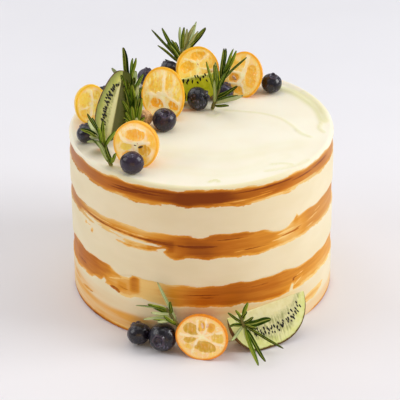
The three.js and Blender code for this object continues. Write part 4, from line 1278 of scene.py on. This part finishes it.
def make_kiwi_seeds(row, wedge, finish):
    """Dark seeds in a bowed double row on the cut faces, fanned out from the core."""
    draw = random.Random(row + 11)
    middle, half_length, turn, opening = kiwi_frame(wedge)
    radius = wedge["radius"]
    low, high = wedge["spread"]
    row_out, row_bow = wedge["row"]
    seeds = []
    for angle, side, count in zip((0.0, opening), (-1, 1), wedge["seeds"]):
        c, s = math.cos(angle), math.sin(angle)
        about = np.array([[c, -s, 0], [s, c, 0], [0, 0, 1]])
        for i in range(count):
            share = low + (high - low) * (i + 0.5) / count
            along = half_length * share + draw.uniform(-SEED_SCATTER, SEED_SCATTER)
            out = row_out + row_bow * (1 - share ** 2) + SEED_STAGGER[i % 3] / radius
            out = max(0.03, out + draw.uniform(-0.9, 1.0) / radius)
            length = SEED_LENGTH * draw.uniform(0.7, 1.15) / 2
            points, faces = seed_shape(length, SEED_WIDTH * draw.uniform(0.8, 1.15) / 2)
            fan = -0.55 * share + draw.uniform(-0.25, 0.25)
            points = points @ rolled(fan).T + (radius * out, side * SEED_RISE, along)
            points = points @ about.T @ turn.T + middle
            if points[:, 2].min() > CAKE_HEIGHT or np.hypot(*points[:, :2].T).min() > CAKE_RADIUS - 1:
                seeds.append((points, faces))
    piece(f"kiwi_{row + 1}_seeds", merged(seeds), [finish])


def kiwi_finish(row, wedge):
    """Wet green flesh with pale rays from the core through the ring of seeds, a faint painted glow of its own
    colour, and painted shade on faces that its neighbours darken.
    """
    flesh = Finish(f"kiwi_flesh_{row + 1}", {
        "Subsurface Weight": 0.2, "Subsurface Radius": (0.5, 0.8, 0.2), "Subsurface Scale": 0.002,
        "Specular IOR Level": 0.1, "Coat Roughness": 0.14, "Emission Strength": wedge["glow"],
    })
    zone, to_skin, second = (flesh.mark(name) for name in ("zone", "to_skin", "second_face"))
    run = flesh.node("ShaderNodeCombineXYZ", sockets={0: flesh.mark("along"), 1: flesh.mark("out") * 0.16})
    sockets = {"Vector": run, "Scale": 0.85, "Detail": 3.0}
    rays = flesh.node("ShaderNodeTexNoise", sockets=sockets, output="Fac")
    fine, cloudy = flesh.grain(0.9), flesh.grain(4.0)

    def between(green, pale):
        return paint(*(a + (b - a) * wedge["paleness"] for a, b in zip(green, pale)))

    outer = flesh.dapple(cloudy, between((150, 150, 12), (224, 228, 144)),
                         between((176, 170, 24), (236, 237, 174)))
    inner = flesh.dapple(rays + cloudy.sway(0.6), between((116, 114, 14), (166, 166, 112)),
                         between((176, 174, 70), (228, 224, 172)))
    heart = flesh.dapple(cloudy, between((196, 192, 110), (240, 232, 184)),
                         between((206, 198, 120), (232, 222, 164)))
    rind_width, rind_amount = wedge["rind"]
    rind = 1 - (to_skin + fine.sway(0.4)).rise(0.3, rind_width)
    rim = 1 - (to_skin + cloudy.sway(1.8) + fine.sway(0.8)).rise(0.7, 1.3)
    first_shade, second_shade = wedge["shade"]
    shade = (1 - second) * first_shade + second * second_shade
    colour = flesh.coats(
        heart,
        ((zone + fine.sway(0.3)).rise(0.4, 0.75),
         flesh.blend((zone + rays.sway(0.9)).rise(1.2, 1.7), inner, outer)),
        (rind * rind_amount, between((84, 92, 18), (150, 164, 60))),
        (rim, paint(92, 60, 24)),
        (shade, paint(48, 54, 2)),
    )
    flesh.relief(rays * 0.5 + cloudy * 0.3 + fine * 0.2, 0.5, 0.7)
    # The emission is a painted glow in the flesh's own colour.
    return flesh.wear(
        Base_Color=colour, Emission_Color=colour, Roughness=0.28 + fine * 0.16,
        Coat_Weight=(0.4 + cloudy * 0.2) * (1 - shade),
    )


def kiwi_skin_finish():
    """Brown papery skin with short fuzz rubbed flat."""
    skin = Finish("kiwi_skin", {"Specular IOR Level": 0.3})
    mottled, fuzz = skin.grain(3.0, detail=3), skin.grain(0.6, (1, 1, 0.4), 3)
    colour = skin.dapple(mottled, paint(112, 84, 44), paint(146, 112, 62))
    colour = skin.blend(fuzz.rise(0.5, 0.75) * 0.6, colour, paint(78, 56, 30))
    skin.relief(fuzz * 0.7 + mottled * 0.3, 0.5, 0.9)
    return skin.wear(Base_Color=colour, Roughness=0.68 + fuzz * 0.16)


def seed_finish():
    """Nearly black seeds with a low sheen."""
    seed = Finish("kiwi_seed", {"Specular IOR Level": 0.2, "Coat Weight": 0.08, "Coat Roughness": 0.15})
    fine = seed.grain(0.7, detail=1)
    seed.relief(fine, 0.05, 0.4)
    colour = seed.dapple(fine, paint(10, 8, 7), paint(24, 17, 12))
    return seed.wear(Base_Color=colour, Roughness=0.3 + fine * 0.15)


def leaf_outline():
    """Across a leaf: a grooved upper face, edges rolled under, and a hollow underside with a rib.
    Each point is [across, thickness share, upper face]."""
    upper = [(x, 0.5 * (1 - abs(x) ** 2.6) - LEAF_GROOVE * math.exp(-(x / 0.16) ** 2), 1.0)
             for x in (-0.86, -0.6, -0.3, -0.12, 0.0, 0.12, 0.3, 0.6, 0.86)]
    under = [(1.0, -0.12, 0.6), (0.9, -0.46, 0.3), (0.66, -0.44, 0.1), (0.4, -0.16, 0.0), (0.14, -0.2, 0.0)]
    mirrored = [(-across, thick, top) for across, thick, top in reversed(under)]
    return np.array([*upper, *under, (0.0, -0.34, 0.0), *mirrored])


def leaf_shape(leaf, row, stem_start, stem_run, pale, tone):
    """One needle leaf on its stem, and how its points lie on it."""
    share, swing, lean, length, seen_width = leaf
    width = max(seen_width, min(LEAF_WIDTH, LEAF_WIDTH_SHARE * length))
    roll = math.acos(seen_width / width) * (1 if row % 2 else -1)
    along = towards(swing, lean)
    front = np.array([0.0, -1.0, 0.0])
    front = unit(front - (front @ along) * along)
    turn = np.column_stack([np.cross(along, front), along, front]) @ rolled(roll)
    across, thickness, upper = leaf_outline().T
    run = np.sin(np.radians(np.linspace(-88, 88, LEAF_STEPS))) / 2 + 0.5
    fullness = np.minimum(1, np.sqrt(1 - (2 * run - 1) ** 2) * 1.12) ** 0.75
    fullness *= 0.6 + 0.4 * step(run, 0.02, 0.2)
    fullness *= 1 - 0.12 * step(run, 0.6, 1.0)
    wave = LEAF_WAVE * width * np.sin(2 * math.pi * run + length)
    bow = LEAF_BOW * length * run ** 2
    thick = (thickness + LEAF_FOLD * (np.abs(across) - 0.5)) * (-1 if pale else 1)
    rings = np.stack([
        fullness[:, None] * across * width / 2 + wave[:, None],
        (run * length)[:, None] + 0 * across,
        fullness[:, None] * thick * LEAF_THICKNESS + bow[:, None],
    ], axis=-1)
    foot = stem_start + stem_run * share
    ends = [(wave[0], 0, 0), (wave[-1], length, bow[-1])]
    points, faces = loft(rings @ turn.T + foot, *(turn @ end + foot for end in ends))
    marks = {
        "upper": capped(np.tile(upper, LEAF_STEPS), 0.5, 0.5),
        "across": capped(np.tile(across, LEAF_STEPS), 0.0, 0.0),
        "run": capped(np.repeat(run, len(across)), 0.0, 1.0),
        "tone": np.full(len(points), tone),
    }
    return points, faces, marks


def stem_shape(start, along, length):
    """A woody twig, four-sided with rounded corners, with a row of knots along it."""
    around = circle(STEM_COLUMNS)
    rings = []
    for share in np.linspace(0, 1, STEM_RINGS):
        radius = STEM_RADIUS + (STEM_TIP_RADIUS - STEM_RADIUS) * share
        radius *= 1 + KNOT_RISE * math.exp(-(((share * STEM_KNOTS) % 1 - 0.5) / 0.14) ** 2)
        ring = radius * (1 + 0.07 * np.cos(4 * around + 3 * share))
        level = np.full(STEM_COLUMNS, share * length)
        rings.append(np.column_stack([ring * np.cos(around), level, ring * np.sin(around)]))
    points, faces = loft(np.array(rings) @ facing(along).T + start, start, start + along * (length + 0.4))
    marks = {key: np.zeros(len(points)) for key in ("upper", "across", "tone")}
    return points, faces, {"run": ((points - start) @ along) / length, **marks}


def make_sprig(name, seed, sprig, finishes, replaces=()):
    """A stem with its single leaves, some of them with the pale underside to the front."""
    draw = random.Random(seed)
    swing, lean, length = sprig["stem"]
    start, along = np.array(sprig["at"], float), towards(swing, lean)
    run = along * (length - STEM_TIP_RADIUS)
    parts = [stem_shape(start, along, length)]
    for i, leaf in enumerate(sprig["leaves"]):
        parts.append(leaf_shape(leaf, i, start, run, i in sprig["pale"], draw.random()))
    points, faces = merged([part[:2] for part in parts])
    marks = {key: np.concatenate([part[2][key] for part in parts]) for key in parts[0][2]}
    stem_faces = len(parts[0][1])
    kinds = [1] * stem_faces + [0] * (len(faces) - stem_faces)
    piece(name, (settled(points), faces), finishes, replaces, marks, kinds)


def leaf_finish():
    """Leathery dark green above, with painted highlights along one side and in the groove, felted grey-green
    below.
    """
    leaf = Finish("rosemary_leaf", {"Specular IOR Level": 0.08})
    fine, cloudy = leaf.grain(0.7), leaf.grain(3.5)
    tone, run, across = (leaf.mark(name) for name in ("tone", "run", "across"))
    groove = 1 - (across * across).rise(0.0, 0.05)
    # One side of each leaf is painted lighter as a highlight, the side chosen by its tone.
    painted_sunlit_side = (across * (tone - 0.35) * 2 + fine.sway(0.4) + cloudy.sway(0.6)).rise(0.05, 0.55)
    top = leaf.coats(
        paint(18, 42, 0),
        ((tone * 0.8 + cloudy * 0.6).rise(0.25, 1.1), paint(84, 116, 12)),
        (painted_sunlit_side * 0.8, paint(158, 176, 54)),
        # The pale groove above is a painted highlight.
        (groove * 0.75, paint(192, 200, 98)),
    )
    colour = leaf.coats(
        paint(148, 168, 96),
        (tone, paint(206, 218, 168)),
        (groove * 0.6, paint(228, 232, 190)),
        (leaf.mark("upper").rise(0.2, 0.7), top),
        ((1 - run.rise(0.0, 0.16)) * 0.6, paint(160, 172, 84)),
        ((run + fine.sway(0.1)).rise(0.93, 1.0) * 0.6, paint(52, 42, 14)),
    )
    leaf.relief(fine * 0.6 + leaf.pores(0.7) * 0.4, 0.16, 0.7)
    return leaf.wear(Base_Color=colour, Roughness=0.42 + fine * 0.18)


def stem_finish():
    """Green-brown bark, pale at the cut end."""
    stem = Finish("rosemary_stem", {"Specular IOR Level": 0.3})
    fine = stem.grain(0.8, (1, 1, 0.3), 3)
    bark = stem.dapple(fine, paint(92, 104, 44), paint(134, 118, 66))
    colour = stem.blend(1 - stem.mark("run").rise(0.0, 0.04), bark, paint(196, 200, 134))
    stem.relief(fine, 0.3, 0.8)
    return stem.wear(Base_Color=colour, Roughness=0.6 + fine * 0.2)


def floor_finish():
    """A pale cool floor, very faintly clouded."""
    floor = Finish("pale_floor", {"Specular IOR Level": 0.2})
    cloudy = floor.grain(90.0)
    colour = floor.blend(cloudy, paint(232, 231, 236), paint(236, 235, 240))
    return floor.wear(Base_Color=colour, Roughness=0.7 + cloudy * 0.1)


def make_floor():
    """The wide floor that the cake stands on."""
    mesh = bpy.data.meshes.new("floor")
    corners = [(x * FLOOR_HALF_SIZE, y * FLOOR_HALF_SIZE, 0) for x, y in ((-1, -1), (1, -1), (1, 1), (-1, 1))]
    mesh.from_pydata(corners, [], [(0, 1, 2, 3)])
    mesh.materials.append(floor_finish().material)
    floor = bpy.data.objects.new("floor", mesh)
    bpy.context.scene.collection.objects.link(floor)


def make_camera():
    """The scene's camera, placed and turned as in the photograph."""
    yaw, pitch, roll = CAMERA_YAW, CAMERA_PITCH, CAMERA_ROLL
    ahead = Vector((-math.sin(yaw) * math.cos(pitch), math.cos(yaw) * math.cos(pitch), -math.sin(pitch)))
    level = Vector((math.cos(yaw), math.sin(yaw), 0))
    above = level.cross(ahead)
    right = math.cos(roll) * level + math.sin(roll) * above
    up = right.cross(ahead)
    data = bpy.data.cameras.new("camera")
    data.lens = CAMERA_LENS
    camera = bpy.data.objects.new("camera", data)
    turn = Matrix((right, up, -ahead)).transposed().to_4x4()
    camera.matrix_world = Matrix.Translation(CAMERA_PLACE) @ turn
    bpy.context.scene.collection.objects.link(camera)
    bpy.context.scene.camera = camera


def soft_light(name, azimuth, lift, distance, size, watts, colour=(1, 1, 1)):
    """A square lamp that looks at the cake, its azimuth counted as on the cake."""
    aim = Vector((0, 0, LAMP_AIM))
    place = aim + Vector(looking(azimuth, lift)) * distance
    data = bpy.data.lights.new(name, "AREA")
    data.size = size
    data.energy = watts
    data.color = colour
    lamp = bpy.data.objects.new(name, data)
    turn = (aim - place).to_track_quat("-Z", "Y").to_matrix().to_4x4()
    lamp.matrix_world = Matrix.Translation(place) @ turn
    lamp.visible_camera = False
    bpy.context.scene.collection.objects.link(lamp)


def make_lights():
    """A broad lamp on the right, weaker ones on the left, a soft ceiling and a warm card low in front."""
    for name, lamp in LAMPS.items():
        soft_light(name, *lamp)
    world = bpy.data.worlds.new("room")
    world.use_nodes = True
    background = world.node_tree.nodes["Background"]
    background.inputs["Color"].default_value = (1, 1, 1, 1)
    background.inputs["Strength"].default_value = ROOM_LIGHT
    bpy.context.scene.world = world


def make_toppings():
    """The fruit and rosemary on the cake and at its foot."""
    berries, pips = berry_finish(), pip_finish()
    for row, place in enumerate(BERRIES):
        make_berry(row, place, berries)
    for row, half_fruit in enumerate(KUMQUATS):
        make_kumquat(row, half_fruit, kumquat_finish(row, half_fruit), pips)
    make_kumquat_end(kumquat_end_finish())
    skin, seeds = kiwi_skin_finish(), seed_finish()
    for row, wedge in enumerate(KIWIS):
        make_kiwi(row, wedge, kiwi_finish(row, wedge), skin)
        make_kiwi_seeds(row, wedge, seeds)
    greens = [leaf_finish(), stem_finish()]
    for row, sprig in enumerate(SPRIGS):
        make_sprig(f"rosemary_{row + 1}_leaves", row + 71, sprig, greens, [f"rosemary_sprig_{row + 1}"])
    make_sprig("rosemary_2_front_shoot", 91, FRONT_SHOOT, greens)


make_camera()
make_floor()
make_lights()
bpy.context.scene.view_settings.view_transform = "Standard"
make_cake(icing_finish())
make_toppings()
